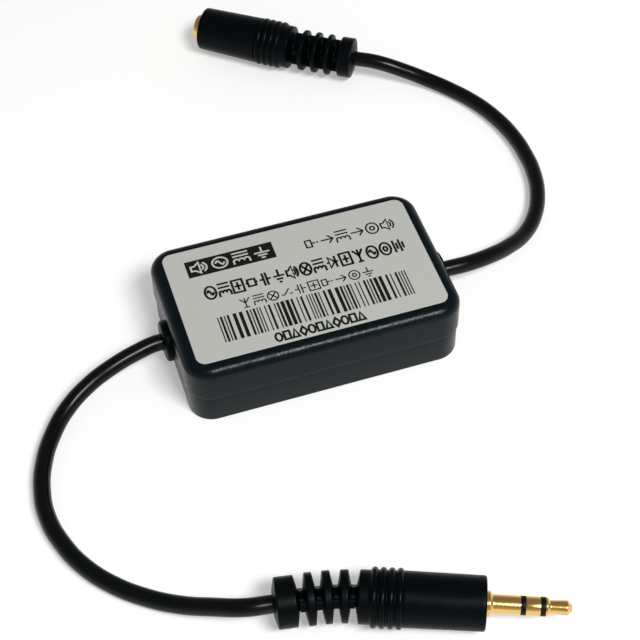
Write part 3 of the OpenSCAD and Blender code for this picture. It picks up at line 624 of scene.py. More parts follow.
def turned_piece(name, profile, place, sides=96, loop=False, crease=40.0):
    """A turned piece: a profile of radius r and place s revolved by (r cos a, r sin a, s) and put in
    place. A loop closes into a tube, and any other profile is closed by a flat face at each end. Its
    UV map gives metres along and turns round."""
    profile = np.asarray(profile)
    angles = np.linspace(0, 2 * math.pi, sides, endpoint=False)
    radius, along = profile[:, :1], profile[:, 1:]
    points = np.stack([radius * np.cos(angles), radius * np.sin(angles), along + 0 * angles], -1)
    faces = grid_faces(len(profile), sides, close_rows=loop).tolist()
    if not loop:
        faces += end_caps(len(profile), sides)
    made = mesh_object(name, place(points), faces, crease, flip=True)
    turns = np.tile(np.arange(sides) / sides, len(profile))
    uv_from_points(made.data, np.column_stack([np.repeat(profile[:, 1], sides), turns]))
    outward(made)
    return made


def uv_from_points(mesh, where):
    """Puts two numbers for each vertex into the UV map named turning."""
    layer = mesh.uv_layers.new(name="turning")
    corner_points = np.zeros(len(mesh.loops), np.int32)
    mesh.loops.foreach_get("vertex_index", corner_points)
    layer.data.foreach_set("uv", np.asarray(where, np.float32)[corner_points].ravel())


def outward(piece):
    """Turns the faces outwards if the mesh's signed volume, the sum of p0 . (p1 x p2) / 6 over its
    triangles, is negative."""
    mesh = piece.data
    mesh.calc_loop_triangles()
    corners = np.zeros(len(mesh.loop_triangles) * 3, np.int32)
    mesh.loop_triangles.foreach_get("vertices", corners)
    points = np.zeros(len(mesh.vertices) * 3, np.float32)
    mesh.vertices.foreach_get("co", points)
    a, b, c = np.moveaxis(points.reshape(-1, 3)[corners.reshape(-1, 3)].astype(float), 1, 0)
    if np.einsum("ij,ij->i", a, np.cross(b, c)).sum() < 0:
        mesh.flip_normals()


KEY_PLACE = (0.21, -0.61, 0.88)
KEY_SIZE = (0.4, 0.26)
CEILING_STARTS, CEILING_FULL = 0.2, 0.66
FLOOR_GLOW = 0.32
FLOOR_DROP = 0.02 * MM


class ISOLATOR_OT_stage(Operator):
    """Makes the camera, the light, the world and the pale floor"""

    bl_idname = "isolator.stage"
    bl_label = "Stage"

    def execute(self, context):
        settings = context.scene.isolator_stage
        self.camera(context, settings)
        self.key_light(context, settings)
        self.room(context, settings)
        self.floor(settings)
        context.scene.view_settings.view_transform = "Standard"
        return {"FINISHED"}

    def camera(self, context, settings):
        """The camera's right, up and back directions follow from its yaw, pitch and roll."""
        yaw, pitch, roll = settings.yaw, settings.pitch, settings.roll
        ahead = Vector((math.sin(yaw) * math.cos(pitch), math.cos(yaw) * math.cos(pitch), -math.sin(pitch)))
        level = Vector((math.cos(yaw), -math.sin(yaw), 0))
        upright = level.cross(ahead)
        right = level * math.cos(roll) + upright * math.sin(roll)
        up = right.cross(ahead)
        data = bpy.data.cameras.new("camera")
        data.sensor_width = 36
        data.lens = settings.lens
        data.clip_start = 0.01
        eye = bpy.data.objects.new("camera", data)
        facing = Matrix((right, up, -ahead)).transposed().to_4x4()
        eye.matrix_world = Matrix.Translation(settings.camera_place) @ facing
        context.scene.collection.objects.link(eye)
        context.scene.camera = eye

    def key_light(self, context, settings):
        """A rectangular soft light that faces the middle of the object."""
        data = bpy.data.lights.new("key_light", "AREA")
        data.shape = "RECTANGLE"
        data.size, data.size_y = KEY_SIZE
        data.energy = settings.key_power
        lamp = bpy.data.objects.new("key_light", data)
        lamp.location = KEY_PLACE
        lamp.rotation_euler = (-Vector(KEY_PLACE)).to_track_quat("-Z", "Y").to_euler()
        context.scene.collection.objects.link(lamp)

    def room(self, context, settings):
        """A room with pale walls and a dim ceiling, as a ramp over the height of the view direction."""
        world = bpy.data.worlds.new("room")
        world.use_nodes = True
        tree = world.node_tree
        direction = node(tree, "ShaderNodeTexCoord").outputs["Generated"]
        inputs = {
            "Value": node(tree, "ShaderNodeSeparateXYZ", {"Vector": direction}).outputs["Z"],
            "From Min": CEILING_STARTS,
            "From Max": CEILING_FULL,
            "To Min": settings.sky_low,
            "To Max": settings.sky_high,
        }
        ramp = node(tree, "ShaderNodeMapRange", inputs, interpolation_type="SMOOTHSTEP")
        tree.links.new(ramp.outputs["Result"], tree.nodes["Background"].inputs["Color"])
        context.scene.world = world

    def floor(self, settings):
        """A wide white table. What sees it straight or mirrored gets some light added, so that it
        reads as white while the object's shadow stays."""
        half = settings.floor_half
        corners = np.array([[-half, -half, 0], [half, -half, 0], [half, half, 0], [-half, half, 0]])
        table = mesh_object("floor", corners - [0, 0, FLOOR_DROP], [[0, 1, 2, 3]])
        material, tree, shader = finish("matt_white_table", linear("#E6E6E5"), 0.9)
        ray = node(tree, "ShaderNodeLightPath").outputs
        seen = ray["Is Camera Ray"]
        for kind in ("Is Glossy Ray", "Is Transmission Ray"):
            seen = node(tree, "ShaderNodeMath", {0: seen, 1: ray[kind]}, operation="MAXIMUM").outputs[0]
        glow = node(tree, "ShaderNodeEmission", {"Color": (1, 1, 1, 1), "Strength": FLOOR_GLOW})
        plain = shader.outputs["BSDF"]
        both = node(tree, "ShaderNodeAddShader", {0: plain, 1: glow.outputs["Emission"]})
        mix = node(tree, "ShaderNodeMixShader", {0: seen, 1: plain, 2: both.outputs["Shader"]})
        tree.links.new(mix.outputs["Shader"], tree.nodes["Material Output"].inputs["Surface"])
        table.data.materials.append(material)


CORD_Z = 1.81
PLUG_ROUTE = [
    (-26, 0, 7.1), (-30.5, 0, 7.1), (-32, 0, 7.1), (-36, -0.8, 6.9), (-41.5, -2.2, 6.1), (-47, -4, 4.6),
    (-52.5, -7.3, 2.9), (-56.6, -12, 1.9), (-59.6, -18, CORD_Z), (-61.3, -24.5, CORD_Z),
    (-61.5, -31, CORD_Z), (-60, -37.5, CORD_Z), (-57.3, -43.5, CORD_Z), (-53, -49.2, CORD_Z),
    (-47.6, -54, 1.9), (-42, -58, 2.8), (-37, -61, 4.3),
]
SOCKET_ROUTE = [
    (26, 0, 7.1), (30.5, 0, 7.1), (32, 0, 7.1), (36.5, 0.2, 6.8), (42, 1.6, 5.8), (47.5, 4.2, 4.1),
    (52.8, 7.8, 2.5), (57.3, 12.6, 1.9), (60.6, 18.5, CORD_Z), (62.5, 25, CORD_Z), (63.1, 31.8, CORD_Z),
    (62.7, 38.6, CORD_Z), (61.2, 45.2, CORD_Z), (58.6, 51.6, CORD_Z), (55, 57.4, CORD_Z),
    (50.3, 62.4, 2.5), (45, 66, 4.1),
]
APPROACH = 5 * MM


def relief_start(grip):
    """Distance from the front face to the finned part."""
    return grip.length + grip.ring_count * grip.ring_pitch + grip.band_length


def bent(along, sideways, across, grip):
    """Local points of a moulding whose finned part is bent: along is the distance behind the face,
    across is local X and sideways local Y. With u the share of the finned part that is passed, the
    axis leans by bend (2u - u u), and its place is the sum of the sines and cosines of that lean."""
    steps = np.linspace(0, 1, 201)
    length = grip.relief
    leans = grip.bend * (2 * steps - steps**2)
    mean = (leans[1:] + leans[:-1]) / 2
    run, drop = (np.concatenate([[0], np.cumsum(part(mean))]) * length / 200 for part in (np.cos, np.sin))
    passed = along - relief_start(grip)
    share = np.clip(passed / length, 0, 1)
    past = np.maximum(passed - length, 0)
    lean = grip.bend * (2 * share - share**2)
    y = sideways * np.cos(lean) - np.interp(share, steps, drop) - past * np.sin(lean)
    back = np.minimum(along, relief_start(grip)) + np.interp(share, steps, run) + past * np.cos(lean)
    return np.stack([across + 0 * y, y, -back - sideways * np.sin(lean)], -1)


def cord_end(grip, back):
    """The point where a cord leaves its moulding, or one that lies some way behind it."""
    along = relief_start(grip) + grip.relief + grip.collar_length + back
    local = bent(np.array(along), np.array(0.0), np.array(0.0), grip)
    return laid_down(local, grip)


class ISOLATOR_OT_cords(Operator):
    """Lays both cords along their routes, from inside the box to their mouldings"""

    bl_idname = "isolator.cords"
    bl_label = "Cords"

    def execute(self, context):
        scene = context.scene
        sizes = scene.isolator_cord
        material = jacket_pvc(scene.isolator_colours)
        for name, cord_node, route, grip in (
            ("plug_lead", "plug_cord", PLUG_ROUTE, scene.isolator_plug),
            ("socket_lead", "jack_cord", SOCKET_ROUTE, scene.isolator_socket),
        ):
            ends = [cord_end(grip, APPROACH), cord_end(grip, 0.0)]
            cord = self.lay(context, name, np.concatenate([np.array(route) * MM, ends]), sizes)
            dress(cord, material, [cord_node])
        return {"FINISHED"}

    def lay(self, context, name, points, sizes):
        """One smooth spline through the points, with a round section and closed ends."""
        data = bpy.data.curves.new(name, "CURVE")
        data.dimensions = "3D"
        data.bevel_depth = sizes.diameter / 2
        data.bevel_resolution = 10
        data.resolution_u = 10
        data.use_fill_caps = True
        spline = data.splines.new("BEZIER")
        spline.bezier_points.add(len(points) - 1)
        spline.bezier_points.foreach_set("co", points.ravel())
        for knot in spline.bezier_points:
            knot.handle_left_type = knot.handle_right_type = "AUTO"
        cord = bpy.data.objects.new(name, data)
        context.scene.collection.objects.link(cord)
        return cord


class ISOLATOR_OT_case(Operator):
    """Builds the upper and the lower shell of the box"""

    bl_idname = "isolator.case"
    bl_label = "Case"

    def execute(self, context):
        sizes = context.scene.isolator_case
        material = textured_abs(context.scene.isolator_colours)
        for name, cad_name, section in (
            ("upper_shell", "top_shell", self.upper_section(sizes)),
            ("lower_shell", "bottom_shell", self.lower_section(sizes)),
        ):
            shell = moulded_box(name, section, END_X, SIDE_Y, sizes.corner)
            outward(shell)
            cut_away(shell, [self.bush_cutter(sizes, side) for side in (-1, 1)])
            dress(shell, material, [cad_name])
        return {"FINISHED"}

    def upper_section(self, sizes):
        """From the middle of the top, over the round top edge and down the wall to the seam, then
        up inside round the rebate for the tongue to the ceiling."""
        rebate = sizes.wall - sizes.tongue - sizes.slide
        ceiling = CASE_TOP - sizes.wall
        shelf = SEAM_Z + sizes.tongue_rise + sizes.slide
        angle = np.linspace(0, math.pi / 2, 13)
        fillet = np.column_stack([1 - np.sin(angle), np.cos(angle) - 1]) * sizes.top_round + [0, CASE_TOP]
        flat = [[sizes.top_round + 0.2 * MM, CASE_TOP]]
        below = soften(
            [[0, SEAM_Z + 1 * MM], [0, SEAM_Z], [rebate, SEAM_Z], [rebate, shelf], [sizes.wall, shelf]],
            [0, sizes.edge, sizes.edge / 2, 0, 0],
            steps=4,
        )
        return np.concatenate([flat, fillet, below, [[sizes.wall, ceiling]]])

    def lower_section(self, sizes):
        """From the middle of the underside, round the bottom edge and up the wall to the seam, over
        the tongue and down inside to the floor."""
        inner, outer = sizes.wall, sizes.wall - sizes.tongue
        top = SEAM_Z + sizes.tongue_rise
        angle = np.linspace(0, math.pi / 2, 7)
        fillet = np.column_stack([1 - np.sin(angle), 1 - np.cos(angle)]) * sizes.bottom_round
        fillet += [sizes.step, 0]
        flat = [[sizes.step + sizes.bottom_round + 0.2 * MM, 0]]
        rim = SEAM_Z - sizes.shadow
        above = soften(
            [[sizes.step, rim - 1 * MM], [sizes.step, rim], [outer, rim], [outer, top], [inner, top]],
            [0, sizes.edge, 0, sizes.edge / 2, sizes.edge / 2],
            steps=4,
        )
        return np.concatenate([flat, fillet, above, [[inner, inner]]])

    def bush_cutter(self, sizes, side):
        """A cylinder through one end wall, at the seam."""
        reach = 2 * sizes.wall
        profile = np.array([[sizes.neck / 2, -reach], [sizes.neck / 2, reach]])
        return turned_piece("cutter", profile, at_end_wall(side), sides=64)


class ISOLATOR_OT_bushes(Operator):
    """Makes the moulded bush round each cord where it leaves the box"""

    bl_idname = "isolator.bushes"
    bl_label = "Cord bushes"

    def execute(self, context):
        sizes, case = context.scene.isolator_cord, context.scene.isolator_case
        material = soft_pvc(context.scene.isolator_colours)
        play = 0.02 * MM
        bore, neck, dome = sizes.diameter / 2 + play, case.neck / 2 - play, sizes.bush / 2
        flange, inside = BUSH_HIGH[2] - SEAM_Z, BUSH_LOW[0] - END_X
        corners = [
            [bore, inside], [flange, inside], [flange, -case.wall], [neck, -case.wall], [neck, 0],
            [dome, 0], [dome, sizes.dome], [bore, sizes.dome],
        ]
        radii = np.array([0, 0.2, 0.1, 0, 0, 0, 1.7, 0.15]) * MM
        profile = soften(corners, radii, steps=6, closed=True)
        for name, side in (("plug_cord_bush", -1), ("jack_cord_bush", 1)):
            made = turned_piece(f"{name}_moulding", profile, at_end_wall(side), loop=True)
            dress(made, material, [name])
        return {"FINISHED"}


def strip(points, width):
    """A flat stroke along a line, which is closed where it ends on its first point: at each point
    the two sides lie half the width away along the mitre, which is the mean of the neighbouring
    normals over the cosine of half the corner. Gives both sides and whether the line is closed."""
    points = np.asarray(points, float)
    closed = np.linalg.norm(points[-1] - points[0]) < 1e-9
    ahead = np.roll(points, -1, 0) - points
    moved = np.linalg.norm(ahead, axis=1) > 1e-9
    points, ahead = points[moved], ahead[moved]
    behind = points - np.roll(points, 1, 0)
    if not closed:
        ahead[-1], behind[0] = behind[-1], ahead[0]
    mitre = 0
    for way in (ahead, behind):
        mitre = mitre + np.column_stack([-way[:, 1], way[:, 0]]) / np.linalg.norm(way, axis=1)[:, None]
    mitre /= np.maximum(np.einsum("ij,ij->i", mitre, mitre), 0.8)[:, None] / 2
    return points + mitre * width / 2, points - mitre * width / 2, closed


def ink_mesh(name, strokes, low, high):
    """One mesh of flat strokes, each a line and its width. The section of each is a thin rectangle
    from the low to the high level."""
    points, faces, start = [], [], 0
    for line, width in strokes:
        left, right, closed = strip(line, width)
        rows = len(left)
        section = ((left, low), (right, low), (right, high), (left, high))
        sides = [np.column_stack([side, np.full(rows, level)]) for side, level in section]
        points.append(np.stack(sides, 1).reshape(-1, 3))
        faces += grid_faces(rows, 4, start, close_rows=closed).tolist()
        if not closed:
            faces += end_caps(rows, 4, start)
        start += rows * 4
    made = mesh_object(name, np.concatenate(points), faces, crease=30)
    outward(made)
    return made


def arc(x, y, radius, first=0, last=360, steps=24):
    """Points round a circle from one angle to another, in degrees."""
    angles = np.radians(np.linspace(first, last, steps + 1))
    return np.column_stack([x + radius * np.cos(angles), y + radius * np.sin(angles)])


def box_line(x0, y0, x1, y1):
    """A rectangle's corners and its first corner again."""
    return (x0, y0, x1, y0, x1, y1, x0, y1, x0, y0)


# Each sign's strokes, as x and y in turn, in a field one wide and one high.
COIL_HUMPS = [arc(x, 0.25, 1 / 6, 180, 0, 6) for x in (1 / 6, 1 / 2, 5 / 6)]
WAVE = np.linspace(0, 1, 13)
SIGNS = {
    "coil": [np.concatenate([[[0, 0]], *COIL_HUMPS, [[1, 0]]]), (0, 0.68, 1, 0.68), (0, 0.96, 1, 0.96)],
    "ground": [(0.5, 1, 0.5, 0.56), (0.02, 0.5, 0.98, 0.5), (0.2, 0.26, 0.8, 0.26), (0.36, 0.03, 0.64, 0.03)],
    "capacitor": [
        (0, 0.5, 0.33, 0.5), (0.36, 0.02, 0.36, 0.98), (0.64, 0.02, 0.64, 0.98), (0.67, 0.5, 1, 0.5),
    ],
    "resistor": [box_line(0.17, 0.25, 0.83, 0.75), (-0.02, 0.5, 0.14, 0.5), (0.86, 0.5, 1.02, 0.5)],
    "lamp": [arc(0.5, 0.5, 0.47), (0.2, 0.2, 0.8, 0.8), (0.2, 0.8, 0.8, 0.2)],
    "source": [
        arc(0.5, 0.5, 0.47),
        np.column_stack([0.22 + 0.56 * WAVE, 0.5 + 0.18 * np.sin(WAVE * 2 * math.pi)]),
    ],
    "socket": [arc(0.5, 0.5, 0.47), arc(0.5, 0.5, 0.17, steps=12)],
    "speaker": [
        (0.02, 0.3, 0.25, 0.3, 0.55, 0.02, 0.55, 0.98, 0.25, 0.7, 0.02, 0.7, 0.02, 0.3),
        arc(0.5, 0.5, 0.27, -55, 55, 10),
        arc(0.5, 0.5, 0.48, -55, 55, 10),
    ],
    "diode": [
        (0, 0.5, 0.2, 0.5),
        (0.22, 0.1, 0.22, 0.9, 0.72, 0.5, 0.22, 0.1),
        (0.79, 0.06, 0.79, 0.94),
        (0.8, 0.5, 1, 0.5),
    ],
    "terminal": [box_line(0.04, 0.04, 0.96, 0.96), (0.5, 0.2, 0.5, 0.8), (0.2, 0.5, 0.8, 0.5)],
    "cell": [
        (0.1, 0.02, 0.1, 0.98), (0.36, 0.25, 0.36, 0.75), (0.63, 0.02, 0.63, 0.98), (0.9, 0.25, 0.9, 0.75),
    ],
    "aerial": [(0.5, 0, 0.5, 0.98), (0.06, 0.96, 0.5, 0.48, 0.94, 0.96), (0.25, 0.03, 0.75, 0.03)],
    "arrow": [(0, 0.5, 0.9, 0.5), (0.58, 0.85, 0.95, 0.5, 0.58, 0.15)],
    "plug": [box_line(0.02, 0.2, 0.45, 0.8), (0.48, 0.5, 0.76, 0.5), (0.84, 0.5, 1, 0.5)],
    "switch": [(0, 0.3, 0.28, 0.3, 0.78, 0.85), (0.72, 0.3, 1, 0.3)],
}
# Each row of signs: the signs, the field's lowest and highest corner in millimetres, the size that
# gives the strokes' width, their share of it, and the gap between signs as a share of the pitch.
SIGN_ROWS = {
    "block_signs": ("speaker source coil ground", (-21.2, 8.1), (-4.3, 11.2), "bold", 0.85, 0.24),
    "signal_path": ("plug arrow coil arrow socket speaker", (3.2, 7.1), (22.5, 10.3), "thin", 1.25, 0.16),
    "bold_row": (
        "source coil terminal resistor capacitor ground speaker lamp coil diode terminal aerial source "
        "socket cell",
        (-20.2, 0.5), (22.6, 4.1), "bold", 1, 0.17,
    ),
    "thin_row": (
        "aerial coil lamp switch capacitor terminal plug arrow socket ground",
        (-14.2, -3.8), (14.2, -1.2), "thin", 1, 0.18,
    ),
}
# The bars' left end, length, lowest and highest edge, and the tally's corner, pitch, height and count.
BARS_FROM, BARS_LENGTH, BARS_LOW, BARS_HIGH = -19.6 * MM, 39.8 * MM, -11.2 * MM, -4.5 * MM
TALLY_CORNER, TALLY_PITCH, TALLY_TALL, TALLY_COUNT = (-10 * MM, -14.4 * MM), 1.72 * MM, 2.3 * MM, 11
TALLY_FILL = 0.86  # an outline's width as a share of the pitch
LIGHT_SIGN_RISE = 1.6  # how high the light signs stand on the black field, in thicknesses of ink
TALLY_OUTLINES = [
    arc(0.5, 0.5, 0.44, steps=18),
    box_line(0.1, 0.06, 0.9, 0.94),
    (0.06, 0.06, 0.94, 0.06, 0.5, 0.96, 0.06, 0.06),
    (0.5, 0, 0.96, 0.5, 0.5, 1, 0.04, 0.5, 0.5, 0),
]


def sign_row(sizes, key):
    """Strokes of one row of signs, side by side in their field."""
    names, low_corner, high_corner, stroke, share, gap = SIGN_ROWS[key]
    names, width = names.split(), getattr(sizes, stroke) * share
    (x0, y0), (x1, y1) = np.array(low_corner) * MM, np.array(high_corner) * MM
    pitch = (x1 - x0) / (len(names) - gap)
    return [
        (np.reshape(line, (-1, 2)) * [pitch * (1 - gap), y1 - y0] + [x0 + i * pitch, y0], width)
        for i, name in enumerate(names)
        for line in SIGNS[name]
    ]


class ISOLATOR_OT_label(Operator):
    """Lays the silver film on the box and prints generic signs on it"""

    bl_idname = "isolator.label"
    bl_label = "Label"

    def execute(self, context):
        sizes, colours = context.scene.isolator_label, context.scene.isolator_colours
        film, ink = silver_film(colours), printed_ink(colours)
        low, high = FILM_LOW[2], FILM_HIGH[2] - 2 * sizes.ink
        rim, middle, edge = 0.3 * MM, 0.5 * MM, 0.05 * MM
        corners = [[rim, low], [0, low], [0, high], [rim, high], [middle, high]]
        section = soften(corners, [0, 0, edge, 0, 0], steps=3)
        sheet = moulded_box("label_film", section, FILM_HIGH[0], FILM_HIGH[1], sizes.corner)
        outward(sheet)
        dress(sheet, film, ["label"])
        prints = {
            "block": self.block(),
            **{key: sign_row(sizes, key) for key in ("signal_path", "bold_row", "thin_row")},
            "bars": self.bars(sizes),
            "tally": self.tally(sizes),
        }
        for name, strokes in prints.items():
            piece = ink_mesh(f"print_{name}", strokes, high - sizes.ink / 2, high + sizes.ink)
            dress(piece, ink)
        rise = LIGHT_SIGN_RISE * sizes.ink
        signs = ink_mesh("print_block_signs", sign_row(sizes, "block_signs"), high, high + rise)
        dress(signs, film)
        return {"FINISHED"}

    def block(self):
        """A solid black field at the upper left."""
        return [([[-22.1 * MM, 9.65 * MM], [-3.4 * MM, 9.65 * MM]], 4.5 * MM)]

    def bars(self, sizes):
        """Upright bars. Widths and gaps follow two uneven beats, from the remainders of squares."""
        beat = np.arange(sizes.bar_count)
        widths = np.choose((beat * beat * 7 + beat * 3) % 11 % 4, [1.0, 1.0, 1.9, 3.0])
        gaps = np.choose((beat * beat * 5 + beat * 2) % 7 % 3, [1.4, 2.2, 3.2])
        unit = BARS_LENGTH / (widths.sum() + gaps[:-1].sum())
        starts = np.concatenate([[0], np.cumsum(widths + gaps)[:-1]])
        middles = BARS_FROM + unit * (starts + widths / 2)
        return [([[x, BARS_LOW], [x, BARS_HIGH]], unit * width) for x, width in zip(middles, widths)]

    def tally(self, sizes):
        """A row of plain outlines under the bars: round, square, three-cornered and so on in turn."""
        x, y = TALLY_CORNER
        field = [TALLY_PITCH * TALLY_FILL, TALLY_TALL]
        return [
            (np.reshape(TALLY_OUTLINES[i % 4], (-1, 2)) * field + [x + i * TALLY_PITCH, y], sizes.bold)
            for i in range(TALLY_COUNT)
        ]


def grip_profile(grip, bore):
    """Radius and distance behind the face, from the bottom of the bore round the outside to the rear:
    rounded face, taper, round grip rings, band, fins and collar."""
    start = relief_start(grip)
    end = start + grip.relief
    core = grip.core / 2
    bulge = (grip.ring_pitch - grip.ring_gap) / 2
    middles = grip.length + (np.arange(grip.ring_count) + 0.5) * grip.ring_pitch
    crest = np.radians(np.linspace(-78, 78, 13))
    rings = [
        np.column_stack([grip.ring / 2 - bulge + bulge * np.cos(crest), middle + bulge * np.sin(crest)])
        for middle in middles
    ]
    rim, root = grip.fin_rim / 2, grip.fin_root / 2
    fins = [
        [[core, s - root], [grip.fin / 2, s - rim], [grip.fin / 2, s + rim], [core, s + root]]
        for s in start + grip.fin_start + np.arange(grip.fin_count) * grip.fin_pitch
    ]
    face = [*bore, [grip.face / 2, 0], [grip.swell / 2, grip.length]]
    front = soften(face, [*[0] * len(bore), grip.face_round, 0])
    rear_face, collar = end + grip.collar_length, grip.collar / 2
    relief = [[grip.band / 2, start - grip.band_length], [grip.band / 2, start - grip.draft], [core, start]]
    relief += [corner for fin in fins for corner in fin]
    relief += [[core, end], [collar, end + grip.draft], [collar, rear_face - grip.draft]]
    relief += [[core + grip.draft, rear_face], [core - 0.15 * MM, rear_face]]
    edge, fillet = 0.22 * MM, 0.35 * MM
    radii = [0, edge, fillet, *[fillet, edge, edge, fillet] * grip.fin_count, fillet, edge, edge, edge, 0]
    return np.concatenate([front, *rings, soften(relief, radii, steps=5)])


def web_radius(grip, angle):
    """Distance from the axis to the web's edge: a rounded rectangle, as the curve
    (|cos|/a)^8 + (|sin|/b)^8 = r^-8 with half sides a and b."""
    a, b = grip.web_width / 2, grip.web_thickness / 2
    lean = angle - grip.web_turn
    return ((np.abs(np.cos(lean)) / a) ** 8 + (np.abs(np.sin(lean)) / b) ** 8) ** (-1 / 8)


def filled(profile, spacing):
    """Adds evenly spaced points along a profile's long stretches, so that none is over the spacing."""
    steps = np.maximum(np.ceil(np.linalg.norm(np.diff(profile, axis=0), axis=1) / spacing).astype(int), 1)
    place = np.concatenate([i + np.arange(n) / n for i, n in enumerate(steps)] + [[len(profile) - 1]])
    whole = np.arange(len(profile))
    return np.column_stack([np.interp(place, whole, profile[:, k]) for k in (0, 1)])


def grip_moulding(name, grip, bore, sides=112):
    """The moulding of the plug or the socket. In the finned part the radius is the smooth larger of the
    turned profile p and the web w: (p + w + sqrt((p - w)^2 + k^2)) / 2."""
    profile = filled(grip_profile(grip, bore), 0.3 * MM)
    angle = np.linspace(0, 2 * math.pi, sides, endpoint=False)[None, :]
    turned, along = profile[:, :1], profile[:, 1:]
    web = web_radius(grip, angle)
    blend = 0.15 * MM
    smooth = (turned + web + np.sqrt((turned - web) ** 2 + blend**2)) / 2
    start = relief_start(grip)
    inside = (along >= start) & (along <= start + grip.relief) & (turned >= grip.core / 2 - 0.1 * MM)
    radius = np.where(inside, smooth, turned + 0 * web)
    local = bent(along + 0 * radius, radius * np.sin(angle), radius * np.cos(angle), grip)
    faces = grid_faces(len(profile), sides).tolist() + end_caps(len(profile), sides)
    made = mesh_object(name, laid_down(local, grip), faces, crease=50)
    outward(made)
    handled = made.data.attributes.new("handled", "FLOAT", "POINT")
    over = np.clip((turned[:, 0] - grip.swell / 2) / (0.25 * MM), 0, 1)
    handled.data.foreach_set("value", np.repeat(over, sides).astype(np.float32))
    return made


class ISOLATOR_OT_plug(Operator):
    """Builds the plug: its moulding, three gold contacts and two insulators"""

    bl_idname = "isolator.plug"
    bl_label = "Plug"

    def execute(self, context):
        scene = context.scene
        grip, sizes, colours = scene.isolator_plug, scene.isolator_contacts, scene.isolator_colours
        radii = [sizes.rod / 2 + i * (sizes.fit + sizes.tube) for i in range(4)]
        depths = [sizes.barrel_length + i * sizes.lug for i in range(5)]
        shoulder = sizes.shoulder / 2
        bore = [[radii[0] + sizes.fit, depths[4]]]
        for radius, wider, depth in zip(radii, [*radii[1:], shoulder], depths[3::-1]):
            bore += [[radius + sizes.fit, depth], [wider + sizes.fit, depth]]
        bore.append([shoulder + sizes.fit, 0])
        dress(grip_moulding("plug_moulding", grip, bore), soft_pvc(colours), ["plug_handle"])
        gold, black = plated_gold(colours), moulded_insulator(colours)
        self.contacts(sizes, radii, [-depth for depth in depths], lambda p: laid_down(p, grip), gold, black)
        return {"FINISHED"}

    def contacts(self, sizes, radii, backs, place, gold, black):
        """Tip, ring and sleeve in gold, with a black insulator in front of the sleeve and the ring.
        The rod and the three tubes round it are each a fit and a wall wider, and reach less far back."""
        pin, fit, shoulder, zero = sizes.pin / 2, sizes.fit, sizes.shoulder / 2, sizes.shoulder_length
        marks = [zero + sizes.sleeve]
        for step in (sizes.gap, sizes.ring, sizes.gap):
            marks.append(marks[-1] + step)
        self.turn_tip(pin, radii[0], marks[3], backs[4], zero + sizes.pin_length, place, gold)
        edge = 0.04 * MM
        for i, name, material, slot in (
            (2, "tip_insulator", black, "insulator"),
            (1, "ring", gold, "gold"),
            (0, "ring_insulator", black, "insulator"),
        ):
            inner, outer, back = radii[2 - i] + fit, radii[3 - i], backs[i + 1]
            first, last = marks[i : i + 2]
            corners = [[inner, back], [outer, back], [outer, first], [pin, first], [pin, last], [inner, last]]
            profile = soften(corners, [0, 0, 0, edge, edge, 0], steps=3, closed=True)
            made = turned_piece(f"plug_{name}_turned", profile, place, loop=True)
            dress(made, material, [f"plug_{name}"])
        bore, cone = radii[3] + fit, 0.4 * MM
        corners = [
            [bore, backs[0]], [shoulder, backs[0]], [shoulder, zero], [pin + cone, zero], [pin, zero + cone],
            [pin, marks[0]], [bore, marks[0]],
        ]
        profile = soften(corners, np.array([0, 0, 0.16, 0.2, 0.3, 0.04, 0]) * MM, closed=True)
        dress(turned_piece("plug_sleeve_turned", profile, place, loop=True), gold, ["plug_sleeve"])

    def turn_tip(self, pin, rod, start, back, end, place, gold):
        """The tip: full-width skirt, narrow neck, slim bulb and blunt nose, on its rod."""
        neck, bulb, blunt, point = 1.24 * MM, 1.4 * MM, 0.65 * MM, 0.02 * MM
        corners = [
            [rod, back], [rod, start], [pin, start], [pin, start + 0.35 * MM], [neck, start + 0.75 * MM],
            [bulb, end - 0.85 * MM], [blunt, end],
        ]
        profile = soften(corners, np.array([0, 0, 0.04, 0.08, 0.25, 0.12, 0]) * MM)
        profile = np.vstack([[point, back], profile, [point, end]])
        dress(turned_piece("plug_tip_turned", profile, place, crease=60), gold, ["plug_tip"])


class ISOLATOR_OT_socket(Operator):
    """Builds the socket: its moulding and its gold mouth"""

    bl_idname = "isolator.socket"
    bl_label = "Socket"

    def execute(self, context):
        scene = context.scene
        grip, sizes, colours = scene.isolator_socket, scene.isolator_contacts, scene.isolator_colours
        depth = sizes.mouth_in + sizes.carrier_length
        wide, narrow = sizes.carrier / 2 + sizes.fit, sizes.mouth / 2 + sizes.fit
        bore = [[wide, depth], [wide, sizes.mouth_in], [narrow, sizes.mouth_in], [narrow, 0]]
        dress(grip_moulding("socket_moulding", grip, bore), soft_pvc(colours), ["jack_handle"])
        inner, outer, back, front = sizes.bore / 2, sizes.mouth / 2, -sizes.mouth_in, sizes.mouth_out
        corners = [[inner, back], [outer, back], [outer, front], [inner, front]]
        profile = soften(corners, np.array([0, 0, 0.7, 0.15]) * MM, steps=8, closed=True)
        mouth = turned_piece("socket_mouth_turned", profile, lambda p: laid_down(p, grip), loop=True)
        dress(mouth, plated_gold(colours), ["jack_mouth"])
        return {"FINISHED"}


class ISOLATOR_OT_cord_ends(Operator):
    """An empty step, which changes nothing."""

    bl_idname = "isolator.cord_ends"
    bl_label = "Cord ends"

    def execute(self, context):
        return {"FINISHED"}


